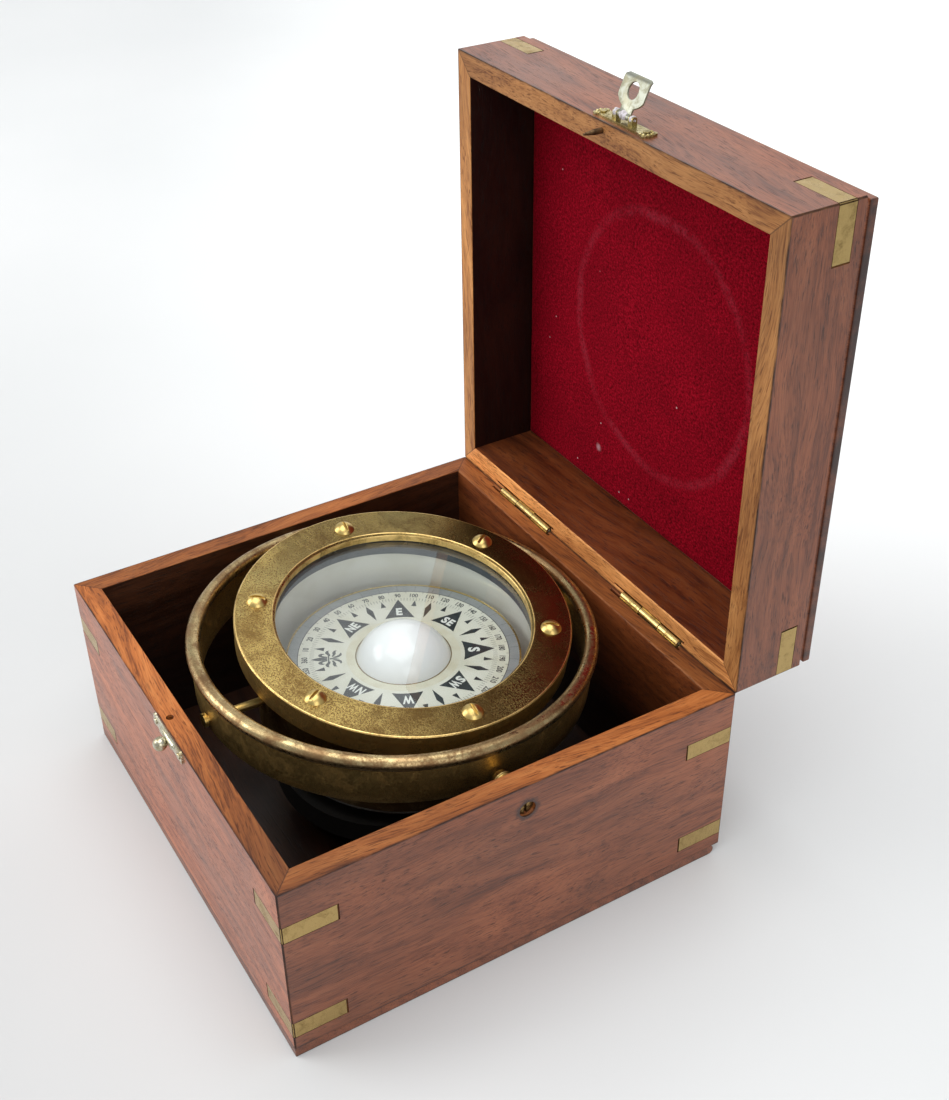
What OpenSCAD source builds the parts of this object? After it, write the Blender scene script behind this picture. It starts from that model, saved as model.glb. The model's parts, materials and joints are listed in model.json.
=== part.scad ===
// Antique ship's compass: a liquid-filled compass bowl hung in a gimbal ring inside a
// hinged hardwood box with a velvet-lined lid.
// Millimetres. +Z is up, +Y points to the hinges, +X is to the right seen from the catch.
// The origin is the middle of the box's underside. The lid is drawn closed, then opened.

/* [Box] */
// Width of the box, left to right
box_w = 178; // [120:1:260]
// Depth of the box, catch to hinges
box_d = 169.3; // [110:0.1:250]
// Height of the box without its lid
box_h = 74.4; // [50:0.1:120]
// Thickness of the walls of box and lid
wall_t = 8; // [5:0.5:12]
// Thickness of the bottom board
base_t = 4; // [3:0.5:8]
// How far the bottom board stops short of the rear face
base_setback = 2.5; // [0:0.5:5]
// Break on the upright outer corners
corner_break = 0.5; // [0.2:0.1:2]

/* [Lid] */
// Height of the mitred lid frame
lid_frame_h = 27.4; // [15:0.1:45]
// Thickness of the board on top of the lid
lid_board_t = 4.5; // [2.5:0.1:8]
// Height of the small quirk under the lid board
quirk = 1.5; // [0.3:0.1:2]
// How far the board has shrunk back from the lid's front face
board_short_front = 1.4; // [0:0.1:3]
// How far the board has shrunk back from the lid's rear face
board_short_rear = 0.9; // [0:0.1:3]
// Gap between box and lid when closed
seam = 0.05; // [0.05:0.05:0.6]
// Angle to which the lid stands open
lid_open = 90; // [0:1:90]
// Thickness of the velvet lining and its card
velvet_t = 1.5; // [0.8:0.1:3]

/* [Corner straps] */
// Width of a brass corner strap
strap_w = 7; // [4:0.5:12]
// Length of each arm of a strap
strap_arm = 19; // [10:0.5:30]
// Thickness of a strap, let in flush
strap_t = 1; // [0.5:0.1:2]
// Saw gap left past the end of each strap
strap_gap = 0.4; // [0:0.1:1]
// Underside of the lower straps above the base
strap_low_z = 9.2; // [5:0.1:20]
// Underside of the upper straps above the base
strap_high_z = 53.3; // [40:0.1:60]
// Start of the lid straps above the lid's mating face
strap_lid_z = 16.9; // [8:0.1:20]

/* [Hinges] */
// Distance of each hinge's middle from the centre line
hinge_x = 41.2; // [25:0.1:60]
// Length of a hinge
hinge_len = 33.4; // [20:0.1:50]
// Radius of the hinge barrel
knuckle_r = 1.7; // [1.2:0.05:3]
// Radius of the hinge pin
hinge_pin_r = 0.8; // [0.5:0.05:1.2]
// Thickness of a hinge leaf
leaf_t = 0.8; // [0.5:0.1:1.5]
// How deep a leaf sits in its saw kerf
leaf_depth = 8; // [5:0.5:14]

/* [Catch] */
// Sideways place of the knob and the hasp
catch_x = 6; // [-20:0.1:20]
// Height of the ball knob's centre
knob_z = 70.6; // [68:0.1:71]
// Radius of the ball knob
knob_r = 2.45; // [1.8:0.05:2.6]
// How far the ball's centre stands off the box
knob_reach = 3.4; // [3:0.05:7]
// Length of the catch plate
catch_len = 25; // [18:0.5:40]
// Height of the catch plate
catch_h = 5; // [4:0.5:6]
// Height of the pressed rib along the catch plate
rib_h = 1.6; // [1:0.1:1.7]
// Length of the hasp plate
hasp_len = 28.5; // [22:0.1:40]
// Height of the hasp plate
hasp_h = 5.8; // [5:0.1:8]
// Near edge of the hasp plate above the lid's mating face
hasp_edge = 1.2; // [0.2:0.1:2]
// How far past upright the hasp leans at rest
hasp_lean = 24; // [0:1:60]

/* [Gimbal] */
// Fore and aft place of the outer pivots
pivot_y = 1.8; // [-5:0.1:5]
// Height of the outer pivots
pivot_z = 64.2; // [50:0.1:70]
// Tilt of the ring about its pivots at rest
ring_tilt = -3; // [-10:0.1:10]
// Tilt of the bowl about its own pivots at rest
bowl_tilt = 6.1; // [-10:0.1:10]
// How far the bowl sits rearward of the ring's middle
bowl_shift = 3.2; // [0:0.1:4]
// Outer radius of the ring's bead
ring_r = 72.5; // [60:0.1:74]
// Radius of the bead's section
bead_r = 2.6; // [1.5:0.1:4]
// Height of the bead's centre above the pivots
bead_z = 12.1; // [5:0.1:15]
// Thickness of the ring's band
band_t = 2.4; // [1.5:0.1:4]
// Lower edge of the band, below the pivots
band_drop = 5; // [3:0.1:10]

/* [Bowl] */
// Outer radius of the bezel
bezel_r = 59.3; // [45:0.1:62]
// Radius of the bezel's window
window_r = 45; // [35:0.1:50]
// Height of the bezel's top above the pivots
bezel_top = 19.2; // [10:0.1:25]
// Thickness of the bezel
bezel_t = 3.2; // [2:0.1:6]
// Height of the flange that carries the bezel
flange_h = 5.8; // [3:0.1:9]
// Radius of the bowl's inside
bowl_in_r = 47.6; // [38:0.1:52]
// Thickness of the bowl's wall
bowl_wall = 3; // [1.5:0.1:5]
// Depth of the bowl's underside below the pivots
bowl_depth = 36.5; // [25:0.5:45]
// Radius of the rounding at the bowl's foot
bowl_round = 14; // [5:0.5:20]
// Radius of the glass
glass_r = 49.6; // [40:0.1:52]
// Thickness of the glass
glass_t = 3; // [2:0.1:5]
// Height of the rubber gasket under the glass
gasket_h = 4.2; // [1:0.1:6]
// Number of bezel screws
bezel_screw_n = 6; // [3:1:12]
// Radius of the bezel screw circle
bezel_screw_pcr = 51.8; // [48:0.1:56]
// Turn of the bezel screw circle
bezel_screw_turn = -2.9; // [-30:0.1:30]

/* [Card] */
// Radius of the compass card with its hoop
card_r = 42.3; // [30:0.1:44]
// Height of the card's centre in the bowl, from the pivots
card_z = -0.1; // [-5:0.1:0]
// Sideways place of the card's needle in the bowl
card_x = 0.15; // [-1:0.05:1]
// Fore and aft place of the card's needle in the bowl
card_y = 0.9; // [-1:0.05:1]
// Card's slant about the left-right line
card_roll = -0.9; // [-3:0.1:3]
// Card's slant about the front-rear line
card_pitch = -0.3; // [-3:0.1:3]
// Direction of north, anticlockwise from +X
card_north = -115.1; // [-180:0.1:180]
// Thickness of the card
card_t = 0.8; // [0.4:0.1:2]
// Radius of the float dome
dome_r = 16.8; // [13:0.1:25]
// Height of the float dome above the card
dome_h = 11.4; // [4:0.1:11.5]

/* [Ballast] */
// Radius of the lead weight under the bowl
ballast_r = 38; // [20:1:45]
// Thickness of the weight
ballast_h = 9; // [3:0.5:12]
// Shift of the weight to the right that sets the bowl's trim
trim_x = 6.65; // [-15:0.05:15]
// Shift of the weight to the rear that sets the ring's trim
trim_y = -10; // [-15:0.05:15]

/* [Hidden] */
$fn = 96;
eps = 0.01;
fit = 0.05;                                   // running clearance, on the radius
a = box_w / 2;
b = box_d / 2;
hinge_y = b + seam / 2;                       // lid hinge axis
hinge_z = box_h + seam / 2;
lid_z = box_h + seam;                         // the lid's mating face when closed
notch_r = knuckle_r + 0.3;                    // round notch that clears the barrels
leaf_y = hinge_y - knuckle_r - 0.3;           // front face of both leaves, lid closed
kerf_slack = 0.05;
kerf_runout = 6;                              // how far a kerf runs on past its hinge
kerf_runout_end = 2;
nail_r = 0.6;
hasp_proud = 2.8;                             // hasp pin, from the lid's front face
hasp_axis_y = -b - hasp_proud;
hasp_axis_z = lid_z + hasp_edge + 2.7;
hasp_knuckle_r = 1;
hasp_pin_r = 0.45;
hasp_plate_t = 0.8;
tongue_t = 0.7;
tongue_w = 13;
tongue_neck = 3.6;                            // length of the narrow part next to the pin
tongue_hole = norm([hasp_axis_z - knob_z, knob_reach - hasp_proud]);  // knob's distance from the pin
hole_r = knob_r + 0.1;
bend_at = tongue_hole + hole_r + 0.4;         // where the finger lip starts to bend outward
bend_r = 2.4;                                 // outer radius of the bend
bend_angle = 55;
tongue_len = bend_at + bend_r;
hasp_rest = -90 - hasp_lean;                  // latched is 0
guide_x = -0.3;                               // locating pin and its hole
guide_in = 3;
guide_r = 0.95;
guide_len = 7;
guide_tip = 4;                                // length of the pin's point
shaft_r = 2.6;                                // outer pivot screw
spigot_r = 1.5;
screw_recess = 3;
band_r = ring_r - 1.1;                        // band's outer radius under the bead
band_low_r = band_r - 1;
band_mid_r = (band_r + band_low_r) / 2;
inner_shaft_r = 1.6;                          // pivots between ring and bowl
inner_pin_r = 1.2;
bowl_out_r = bowl_in_r + bowl_wall;
boss_end = bowl_out_r + 3.4;
boss_r = 4.5;
boss_bore = 3.8;
flange_top = bezel_top - bezel_t;
flange_low = flange_top - flange_h;
glass_low = flange_top - 0.3 - glass_t;
ledge_z = glass_low - gasket_h;               // ledge that the gasket sits on
floor_z = -bowl_depth + bowl_wall;            // inside floor of the bowl
shank_r = 1.5;
head_r = 3.8;                                 // round heads of the bezel screws
head_h = 2.3;
bolt_r = 2.7;                                 // flat heads of the bowl pivots and ballast screw

// Which sub-part to draw

walnut = [0.42, 0.20, 0.13];
rimwood = [0.62, 0.34, 0.19];
brass = [0.76, 0.62, 0.32];
old_brass = [0.55, 0.42, 0.26];
nickel = [0.78, 0.78, 0.70];
steel = [0.62, 0.63, 0.65];
crimson = [0.42, 0.03, 0.08];
ivory = [0.90, 0.90, 0.84];
slate = [0.30, 0.33, 0.36];
lead = [0.40, 0.41, 0.43];

// ---------- placing ----------
module on_lid() translate([0, hinge_y, hinge_z]) rotate([-lid_open, 0, 0])
  translate([0, -hinge_y, -hinge_z]) children();
module on_hasp() on_lid() translate([catch_x, hasp_axis_y, hasp_axis_z])
  rotate([hasp_rest, 0, 0]) children();
module on_ring() translate([0, pivot_y, pivot_z]) rotate([ring_tilt, 0, 0]) children();
module on_bowl() on_ring() translate([0, bowl_shift, 0]) rotate([0, bowl_tilt, 0]) children();
module on_card() on_bowl() translate([card_x, card_y, card_z]) rotate([0, -bowl_tilt, 0])
  rotate([-ring_tilt + card_roll, 0, 0]) rotate([0, card_pitch, 0])
  rotate([0, 0, card_north]) children();
module at_corners() for (i = [0, 1], j = [0, 1])
  mirror([i, 0, 0]) mirror([0, j, 0]) children();
module along_x(r, x0, x1) translate([x0, 0, 0]) rotate([0, 90, 0]) cylinder(r = r, h = x1 - x0);
module along_y(r, y0, y1) translate([0, y0, 0]) rotate([-90, 0, 0]) cylinder(r = r, h = y1 - y0);

// ---------- wooden case ----------
// Plan of one mitred wall: half-length hl, outer face hd in front of the middle.
module wall_plan(hl, hd) polygon([
  [-hl + corner_break, -hd], [hl - corner_break, -hd],
  [hl - corner_break / 2, -hd + corner_break / 2],
  [hl - wall_t, -hd + wall_t], [-hl + wall_t, -hd + wall_t],
  [-hl + corner_break / 2, -hd + corner_break / 2]]);
module front_or_rear(rear, z0, z1) rotate([0, 0, rear ? 180 : 0])
  translate([0, 0, z0]) linear_extrude(z1 - z0) wall_plan(a, b);
module left_or_right(right, z0, z1) rotate([0, 0, right ? 90 : -90])
  translate([0, 0, z0]) linear_extrude(z1 - z0) wall_plan(b, a);

// One corner strap at the +X +Y corner; extra lengthens the arms to cut its recess.
module strap(z, extra = 0) translate([a, b, z]) linear_extrude(strap_w) polygon([
  [-strap_arm - extra, 0], [-corner_break, 0], [0, -corner_break], [0, -strap_arm - extra],
  [-strap_t, -strap_arm - extra], [-strap_t, -strap_t], [-strap_arm - extra, -strap_t]]);
module box_recesses() at_corners() {
  strap(strap_low_z, strap_gap);
  strap(strap_high_z, strap_gap);
}
module lid_recesses() at_corners() strap(lid_z + strap_lid_z, strap_gap);

// Saw kerf for one leaf; dir is -1 into the box and 1 into the lid.
module kerf(dir) for (s = [-1, 1])
  translate([s * hinge_x - hinge_len / 2 - kerf_runout, leaf_y - kerf_slack,
             dir < 0 ? hinge_z - leaf_depth - kerf_slack : hinge_z])
    cube([hinge_len + kerf_runout + kerf_runout_end, leaf_t + 2 * kerf_slack,
          leaf_depth + kerf_slack]);
module barrel_notch() for (s = [-1, 1])
  translate([s * hinge_x, hinge_y, hinge_z])
    along_x(notch_r, -hinge_len / 2 - 0.5, hinge_len / 2 + 0.5);
module nail_places(dir) for (s = [-1, 1], i = [-1, 1])
  translate([s * hinge_x + i * hinge_len * 0.36, 0, hinge_z + dir * leaf_depth * 0.68])
    children();
module leaf_nails(dir) nail_places(dir) along_y(nail_r, b - 5, b);

// Bore for an outer pivot screw, through the +X wall.
module pivot_hole() translate([0, pivot_y, pivot_z]) {
  along_x(shaft_r, a - wall_t - 1, a + 1);
  along_x(shaft_r + 0.4, a - screw_recess, a + 1);
}

module bottom_board() color(walnut)
  translate([-a, -b, 0]) union() {
    cube([box_w, box_d - base_setback - base_t / 2, base_t]);
    translate([0, box_d - base_setback - base_t / 2, base_t / 2]) along_x(base_t / 2, 0, box_w);
  }

module front_wall() color(walnut) difference() {
  front_or_rear(false, base_t, box_h);
  box_recesses();
  translate([guide_x, -b + guide_in, box_h - guide_len - 1.5])
    cylinder(r = guide_r + 0.35, h = guide_len + 3);
  catch_nail_shanks();
}
module rear_wall() color(walnut) difference() {
  front_or_rear(true, base_t, box_h);
  box_recesses();
  kerf(-1);
  barrel_notch();
  leaf_nails(-1);
}
module left_wall() color(walnut) difference() {
  left_or_right(false, base_t, box_h);
  box_recesses();
  mirror([1, 0, 0]) pivot_hole();
}
module right_wall() color(walnut) difference() {
  left_or_right(true, base_t, box_h);
  box_recesses();
  pivot_hole();
}
module lower_box_straps() color(brass) at_corners() strap(strap_low_z);
module upper_box_straps() color(brass) at_corners() strap(strap_high_z);

// ---------- lid ----------
module lid_front_wall() color(walnut) on_lid() difference() {
  front_or_rear(false, lid_z, lid_z + lid_frame_h);
  lid_recesses();
  translate([guide_x, -b + guide_in, lid_z - 1]) cylinder(r = guide_r, h = guide_len + 1);
  hasp_nail_shanks();
}
module lid_rear_wall() color(walnut) on_lid() difference() {
  front_or_rear(true, lid_z, lid_z + lid_frame_h);
  lid_recesses();
  kerf(1);
  barrel_notch();
  leaf_nails(1);
}
module lid_left_wall() color(walnut) on_lid() difference() {
  left_or_right(false, lid_z, lid_z + lid_frame_h);
  lid_recesses();
}
module lid_right_wall() color(walnut) on_lid() difference() {
  left_or_right(true, lid_z, lid_z + lid_frame_h);
  lid_recesses();
}
// The board steps in at the quirk before it meets the frame.
module lid_top_board() color(walnut) on_lid() translate([0, 0, lid_z + lid_frame_h]) union() {
  step = 1;
  front = -b + board_short_front;
  depth = box_d - board_short_front - board_short_rear;
  translate([-a + step, front + step, 0]) cube([box_w - 2 * step, depth - 2 * step, quirk]);
  translate([-a, front, quirk]) cube([box_w, depth, lid_board_t - quirk]);
}
module velvet_lining() color(crimson) on_lid()
  translate([-a + wall_t + 0.2, -b + wall_t + 0.2, lid_z + lid_frame_h - velvet_t])
    cube([box_w - 2 * wall_t - 0.4, box_d - 2 * wall_t - 0.4, velvet_t]);
module lid_straps() color(brass) on_lid() at_corners() strap(lid_z + strap_lid_z);

// ---------- hinges ----------
// Three knuckles: the outer two belong to the box leaf, the middle one to the lid leaf.
module hinge_leaf(side, dir) {
  third = hinge_len / 3;
  gap = 0.15;
  lid_leaf = dir > 0;
  translate([side * hinge_x, 0, 0]) difference() {
    union() {
      translate([-hinge_len / 2, leaf_y, lid_leaf ? hinge_z : hinge_z - leaf_depth])
        cube([hinge_len, leaf_t, leaf_depth]);
      translate([0, hinge_y, hinge_z])
        if (lid_leaf) along_x(knuckle_r, -third / 2 + gap, third / 2 - gap);
        else for (s = [-1, 1]) translate([s * third, 0, 0])
          along_x(knuckle_r, -third / 2 + (s > 0 ? gap : 0), third / 2 - (s > 0 ? 0 : gap));
      web_x = lid_leaf ? [[-third / 2 + gap, third - 2 * gap]]
        : [[-hinge_len / 2, third - gap], [third / 2 + gap, third - gap]];
      for (w = web_x) translate([w[0], leaf_y, lid_leaf ? hinge_z : hinge_z - knuckle_r])
        cube([w[1], knuckle_r, knuckle_r]);
    }
    translate([0, hinge_y, hinge_z]) {
      along_x(hinge_pin_r + (lid_leaf ? fit : 0), -hinge_len, hinge_len);
      if (lid_leaf) for (s = [-1, 1]) translate([s * third, 0, 0])
        along_x(notch_r + 0.1, -third / 2 - gap / 2, third / 2 + gap / 2);
      else along_x(notch_r + 0.1, -third / 2 - gap / 2, third / 2 + gap / 2);
    }
    translate([-side * hinge_x, 0, 0]) leaf_nails(dir);
  }
}
module hinge_pin(side) translate([side * hinge_x, hinge_y, hinge_z])
  along_x(hinge_pin_r, -hinge_len / 2, hinge_len / 2 - 0.6);
module left_hinge_box_leaf() color(brass) hinge_leaf(-1, -1);
module right_hinge_box_leaf() color(brass) hinge_leaf(1, -1);
module left_hinge_lid_leaf() color(brass) on_lid() hinge_leaf(-1, 1);
module right_hinge_lid_leaf() color(brass) on_lid() hinge_leaf(1, 1);
module left_hinge_pin() color(steel) hinge_pin(-1);
module right_hinge_pin() color(steel) hinge_pin(1);
module box_hinge_nails() color(brass) leaf_nails(-1);
module lid_hinge_nails() color(brass) on_lid() leaf_nails(1);

// ---------- catch and hasp ----------
// A thin plate with petal-shaped ends, standing on the front face at height z.
module petal_plate(len, h, z, t) {
  petal = h * 0.2;
  translate([catch_x, -b, z]) rotate([90, 0, 0]) linear_extrude(t) union() {
    square([len - h, h * 0.8], center = true);
    for (s = [-1, 1], k = [-1.5:1:1.5])
      translate([s * (len / 2 - petal - 0.35 * abs(k)), k * h * 0.21]) circle(r = petal);
    for (s = [-1, 1]) translate([s * (len - h) / 2, 0]) circle(r = h * 0.42);
  }
}
module plate_nails(len, h, z, head) for (s = [-1, 1])
  translate([catch_x + s * (len - h) / 2, 0, z]) {
    along_y(nail_r, -b - hasp_plate_t, -b + 4);
    if (head) along_y(1.1, -b - hasp_plate_t - 0.5, -b - hasp_plate_t);
  }
catch_plate_z = box_h - catch_h / 2 - 0.1;
hasp_plate_z = lid_z + hasp_edge + hasp_h / 2;
module catch_nail_shanks() plate_nails(catch_len, catch_h, catch_plate_z, false);
module hasp_nail_shanks() plate_nails(hasp_len, hasp_h, hasp_plate_z, false);

// A half-round rib pressed along the middle of the plate stiffens it; the knob sits in a dent of it.
module catch_plate() color(nickel) difference() {
  rib_flat = 5;                               // half-length of the full rib
  rib_end = 2.6;                              // length of each tapered end
  union() {
    petal_plate(catch_len, catch_h, catch_plate_z, hasp_plate_t);
    intersection() {
      translate([catch_x, -b, catch_plate_z]) union() {
        along_x(rib_h, -rib_flat, rib_flat);
        for (s = [0, 1]) mirror([s, 0, 0]) translate([rib_flat, 0, 0]) rotate([0, 90, 0])
          cylinder(r1 = rib_h, r2 = hasp_plate_t - 0.1, h = rib_end);
      }
      translate([-a, -b - 5, 0]) cube([box_w, 5, box_h]);
    }
  }
  catch_nail_shanks();
  translate([catch_x, 0, knob_z]) along_y(1.1, -b - 3, -b + 1);
  translate([catch_x, -b - knob_reach, knob_z]) sphere(r = knob_r + 0.1);
}
module catch_nails() color(nickel) plate_nails(catch_len, catch_h, catch_plate_z, true);
module catch_knob() color(nickel) translate([catch_x, -b, knob_z]) union() {
  translate([0, -knob_reach, 0]) sphere(r = knob_r);
  along_y(1.1, -knob_reach + knob_r / 2, 0);
}
module hasp_plate() color(nickel) on_lid() difference() {
  union() {
    petal_plate(hasp_len, hasp_h, hasp_plate_z, hasp_plate_t);
    translate([catch_x, hasp_axis_y, hasp_axis_z]) for (s = [-1, 1]) translate([s * 4.2, 0, 0]) {
      along_x(hasp_knuckle_r, -1.1, 1.1);
      translate([-1.1, 0, -hasp_knuckle_r]) cube([2.2, hasp_proud - hasp_plate_t / 2, 2 * hasp_knuckle_r]);
    }
  }
  hasp_nail_shanks();
  translate([catch_x, hasp_axis_y, hasp_axis_z]) along_x(hasp_pin_r, -6, 6);
}
module hasp_nails() color(nickel) on_lid() plate_nails(hasp_len, hasp_h, hasp_plate_z, true);
module hasp_hinge_pin() color(steel) on_lid()
  translate([catch_x, hasp_axis_y, hasp_axis_z]) along_x(hasp_pin_r, -5.3, 5.3);
// Side view of the tongue: a flat sheet whose lower end bends outward as a finger lip.
module tongue_side() {
  translate([-tongue_t / 2, -bend_at]) square([tongue_t, bend_at]);
  translate([tongue_t / 2 - bend_r, -bend_at]) difference() {
    circle(r = bend_r);
    circle(r = bend_r - tongue_t);
    translate([-2 * bend_r, 0]) square(4 * bend_r);
    rotate(-bend_angle) translate([-4 * bend_r, -4 * bend_r]) square([8 * bend_r, 4 * bend_r]);
  }
}
// Front view of the tongue: a neck, then a plate with rounded ends.
module tongue_front() {
  hw = tongue_w / 2;
  corner = 1.6;
  polygon([[-2.9, 0], [2.9, 0], [2.9, -2.6], [hw - corner, -tongue_neck], [hw, -tongue_neck - corner],
    [hw, -tongue_len + corner - 0.3], [hw - corner, -tongue_len], [corner - hw, -tongue_len],
    [-hw, -tongue_len + corner - 0.3], [-hw, -tongue_neck - corner], [corner - hw, -tongue_neck],
    [-2.9, -2.6]]);
}
// Drawn hanging from its pin; the box side is +Y.
module hasp_tongue() color(nickel) on_hasp() difference() {
  union() {
    along_x(hasp_knuckle_r, -2.9, 2.9);
    intersection() {
      translate([-tongue_w, 0, 0]) rotate([90, 0, 90]) linear_extrude(2 * tongue_w) tongue_side();
      translate([0, 5, 0]) rotate([90, 0, 0]) linear_extrude(10) tongue_front();
    }
  }
  along_x(hasp_pin_r + fit, -4, 4);
  for (k = [-0.2, 0.2]) translate([0, 0, -tongue_hole + k]) along_y(hole_r, -2, 2);
}
// Headless pin in the lid's front wall; it drops into the hole in the box's rim.
module locating_pin() color(steel) on_lid() translate([guide_x, -b + guide_in, 0]) union() {
  translate([0, 0, lid_z - guide_len + guide_tip]) cylinder(r = guide_r, h = 2 * guide_len - guide_tip);
  translate([0, 0, lid_z - guide_len]) cylinder(r1 = 0.3, r2 = guide_r, h = guide_tip);
}

// ---------- gimbal ----------
// A screw of the box's side wall, on the +X side: spigot, collar, shaft and slotted head.
module pivot_screw() translate([0, pivot_y, pivot_z]) difference() {
  union() {
    along_x(spigot_r, band_mid_r - 4.2, band_mid_r + 2);
    along_x(shaft_r + 0.6, band_mid_r + 1, band_mid_r + 2.4);
    along_x(shaft_r, band_mid_r + 2.4, a - screw_recess);
    along_x(shaft_r + 0.3, a - screw_recess, a - screw_recess + 1.6);
  }
  translate([a - screw_recess + 0.7, -0.4, -5]) cube([2, 0.8, 10]);
}
module right_pivot_screw() color(brass) pivot_screw();
module left_pivot_screw() color(brass) mirror([1, 0, 0]) pivot_screw();
module pivot_lock_nuts() color(brass) for (m = [0, 1]) mirror([m, 0, 0])
  translate([0, pivot_y, pivot_z]) difference() {
    along_x(shaft_r + 1.5, a - wall_t - 2.2, a - wall_t);
    along_x(shaft_r, a - wall_t - 3, a);
  }

module gimbal_ring() color(old_brass) on_ring() difference() {
  rotate_extrude() union() {
    translate([ring_r - bead_r, bead_z]) circle(r = bead_r);
    polygon([
      [band_low_r - band_t, -band_drop], [band_low_r - 0.6, -band_drop],
      [band_low_r, -band_drop + 0.8], [band_r, bead_z - bead_r + 0.3],
      [band_r, bead_z], [band_r - band_t, bead_z]]);
  }
  along_x(spigot_r + fit, -ring_r - 2, ring_r + 2);
  along_y(inner_shaft_r, -ring_r - 2, ring_r + 2);
}
// The two pivots that carry the bowl; they differ in length because the bowl sits rearward.
module bowl_pivot(side) {
  tip = side * bowl_shift + boss_end;         // where the bowl's boss ends, along this side
  rotate([0, 0, side < 0 ? 180 : 0]) difference() {
    union() {
      along_y(inner_pin_r, tip - boss_bore + 0.6, tip + 1);
      along_y(inner_shaft_r, tip + 0.8, band_mid_r + 0.6);
      along_y(bolt_r - 0.2, band_mid_r + 0.55, band_mid_r + 1.9);
    }
    translate([-0.4, band_mid_r + 1.1, -5]) cube([0.8, 2, 10]);
  }
}
module front_bowl_pivot() color(brass) on_ring() bowl_pivot(-1);
module rear_bowl_pivot() color(brass) on_ring() bowl_pivot(1);

// ---------- bowl ----------
module bezel_screw_places() for (k = [0:bezel_screw_n - 1])
  rotate([0, 0, bezel_screw_turn + k * 360 / bezel_screw_n])
    translate([bezel_screw_pcr, 0, 0]) children();
screw_bite = 6;                               // shank length below the bezel's top

module bowl() color(brass) on_bowl() difference() {
  union() {
    rotate_extrude() union() {
      polygon([
        [0, -bowl_depth], [bowl_out_r - bowl_round, -bowl_depth],
        [bowl_out_r - bowl_round, -bowl_depth + bowl_round],
        [bowl_out_r, -bowl_depth + bowl_round], [bowl_out_r, flange_low],
        [bezel_r - 0.3, flange_low], [bezel_r - 0.3, flange_top], [0, flange_top]]);
      translate([bowl_out_r - bowl_round, -bowl_depth + bowl_round]) circle(r = bowl_round);
    }
    for (s = [-1, 1]) along_y(boss_r, s < 0 ? -boss_end : 0, s < 0 ? 0 : boss_end);
  }
  translate([0, 0, -bowl_depth + bowl_round]) cylinder(r = bowl_in_r, h = 80);
  translate([0, 0, floor_z]) cylinder(r = bowl_in_r - bowl_round + bowl_wall, h = 80);
  intersection() {
    translate([0, 0, floor_z]) cylinder(r = bowl_in_r, h = bowl_round);
    rotate_extrude() translate([bowl_out_r - bowl_round, -bowl_depth + bowl_round])
      circle(r = bowl_round - bowl_wall);
  }
  translate([0, 0, ledge_z]) cylinder(r = glass_r, h = 80);
  for (s = [-1, 1])
    along_y(inner_pin_r + fit, s < 0 ? -boss_end - 1 : boss_end - boss_bore,
            s < 0 ? -boss_end + boss_bore : boss_end + 1);
  bezel_screw_places() translate([0, 0, bezel_top - screw_bite]) cylinder(r = shank_r, h = 20);
  rotate([0, 0, 180]) translate([0, 0, -16]) along_x(2.5, bowl_in_r - 2, bowl_out_r + 5);
}
module gasket() color(slate) on_bowl() difference() {
  translate([0, 0, ledge_z]) cylinder(r = glass_r, h = gasket_h);
  translate([0, 0, ledge_z - 1]) cylinder(r = bowl_in_r - 1, h = gasket_h + 2);
}
module glass() color([0.8, 0.9, 0.92, 0.35]) on_bowl()
  translate([0, 0, glass_low]) cylinder(r = glass_r - 0.1, h = glass_t);
module bezel() color(brass) on_bowl() difference() {
  translate([0, 0, flange_top]) union() {
    cylinder(r = bezel_r, h = bezel_t - 0.4);
    translate([0, 0, bezel_t - 0.4]) cylinder(r1 = bezel_r, r2 = bezel_r - 0.4, h = 0.4);
  }
  translate([0, 0, flange_top - 1]) cylinder(r = window_r, h = bezel_t + 2);
  translate([0, 0, bezel_top - 0.8]) cylinder(r1 = window_r, r2 = window_r + 1, h = 0.85);
  bezel_screw_places() translate([0, 0, flange_top - 1]) cylinder(r = shank_r, h = 10);
}
// Round-headed slotted screws; each slot is left at its own angle.
module bezel_screws() color(brass) on_bowl() bezel_screw_places() {
  cap_r = (head_r * head_r + head_h * head_h) / (2 * head_h);
  translate([0, 0, bezel_top]) difference() {
    union() {
      translate([0, 0, -screw_bite]) cylinder(r = shank_r, h = screw_bite + 0.2);
      intersection() {
        translate([0, 0, head_h - cap_r]) sphere(r = cap_r);
        cylinder(r = head_r, h = head_h);
      }
    }
    translate([-head_r - 1, -0.5, head_h - 1.2]) cube([2 * head_r + 2, 1, 2]);
  }
}
post_top = card_z - 9;
module pivot_post() color(brass) on_bowl() translate([card_x, card_y, floor_z]) union() {
  cylinder(r = 7, h = 2);
  translate([0, 0, 2]) cylinder(r1 = 3, r2 = 1.6, h = post_top - floor_z - 2);
}
// Hard steel point under the card's jewel.
module pivot_needle() color(steel) on_bowl() translate([card_x, card_y, 0]) union() {
  translate([0, 0, post_top]) cylinder(r = 0.7, h = card_z - 2 - post_top);
  translate([0, 0, card_z - 2]) cylinder(r1 = 0.7, r2 = 0.1, h = 1.8);
}
module lubber_pin() color([0.1, 0.1, 0.1]) on_bowl()
  translate([-0.5, -bowl_in_r + 0.25, -14]) cube([1, 0.7, 20]);
module filler_plug() color(brass) on_bowl() rotate([0, 0, 180])
  translate([0, 0, -16]) difference() {
    union() {
      along_x(2.5, bowl_in_r + 0.3, bowl_out_r + 0.8);
      along_x(4.2, bowl_out_r + 0.1, bowl_out_r + 2);
    }
    translate([bowl_out_r + 1.2, -0.5, -6]) cube([2, 1, 12]);
  }
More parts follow.
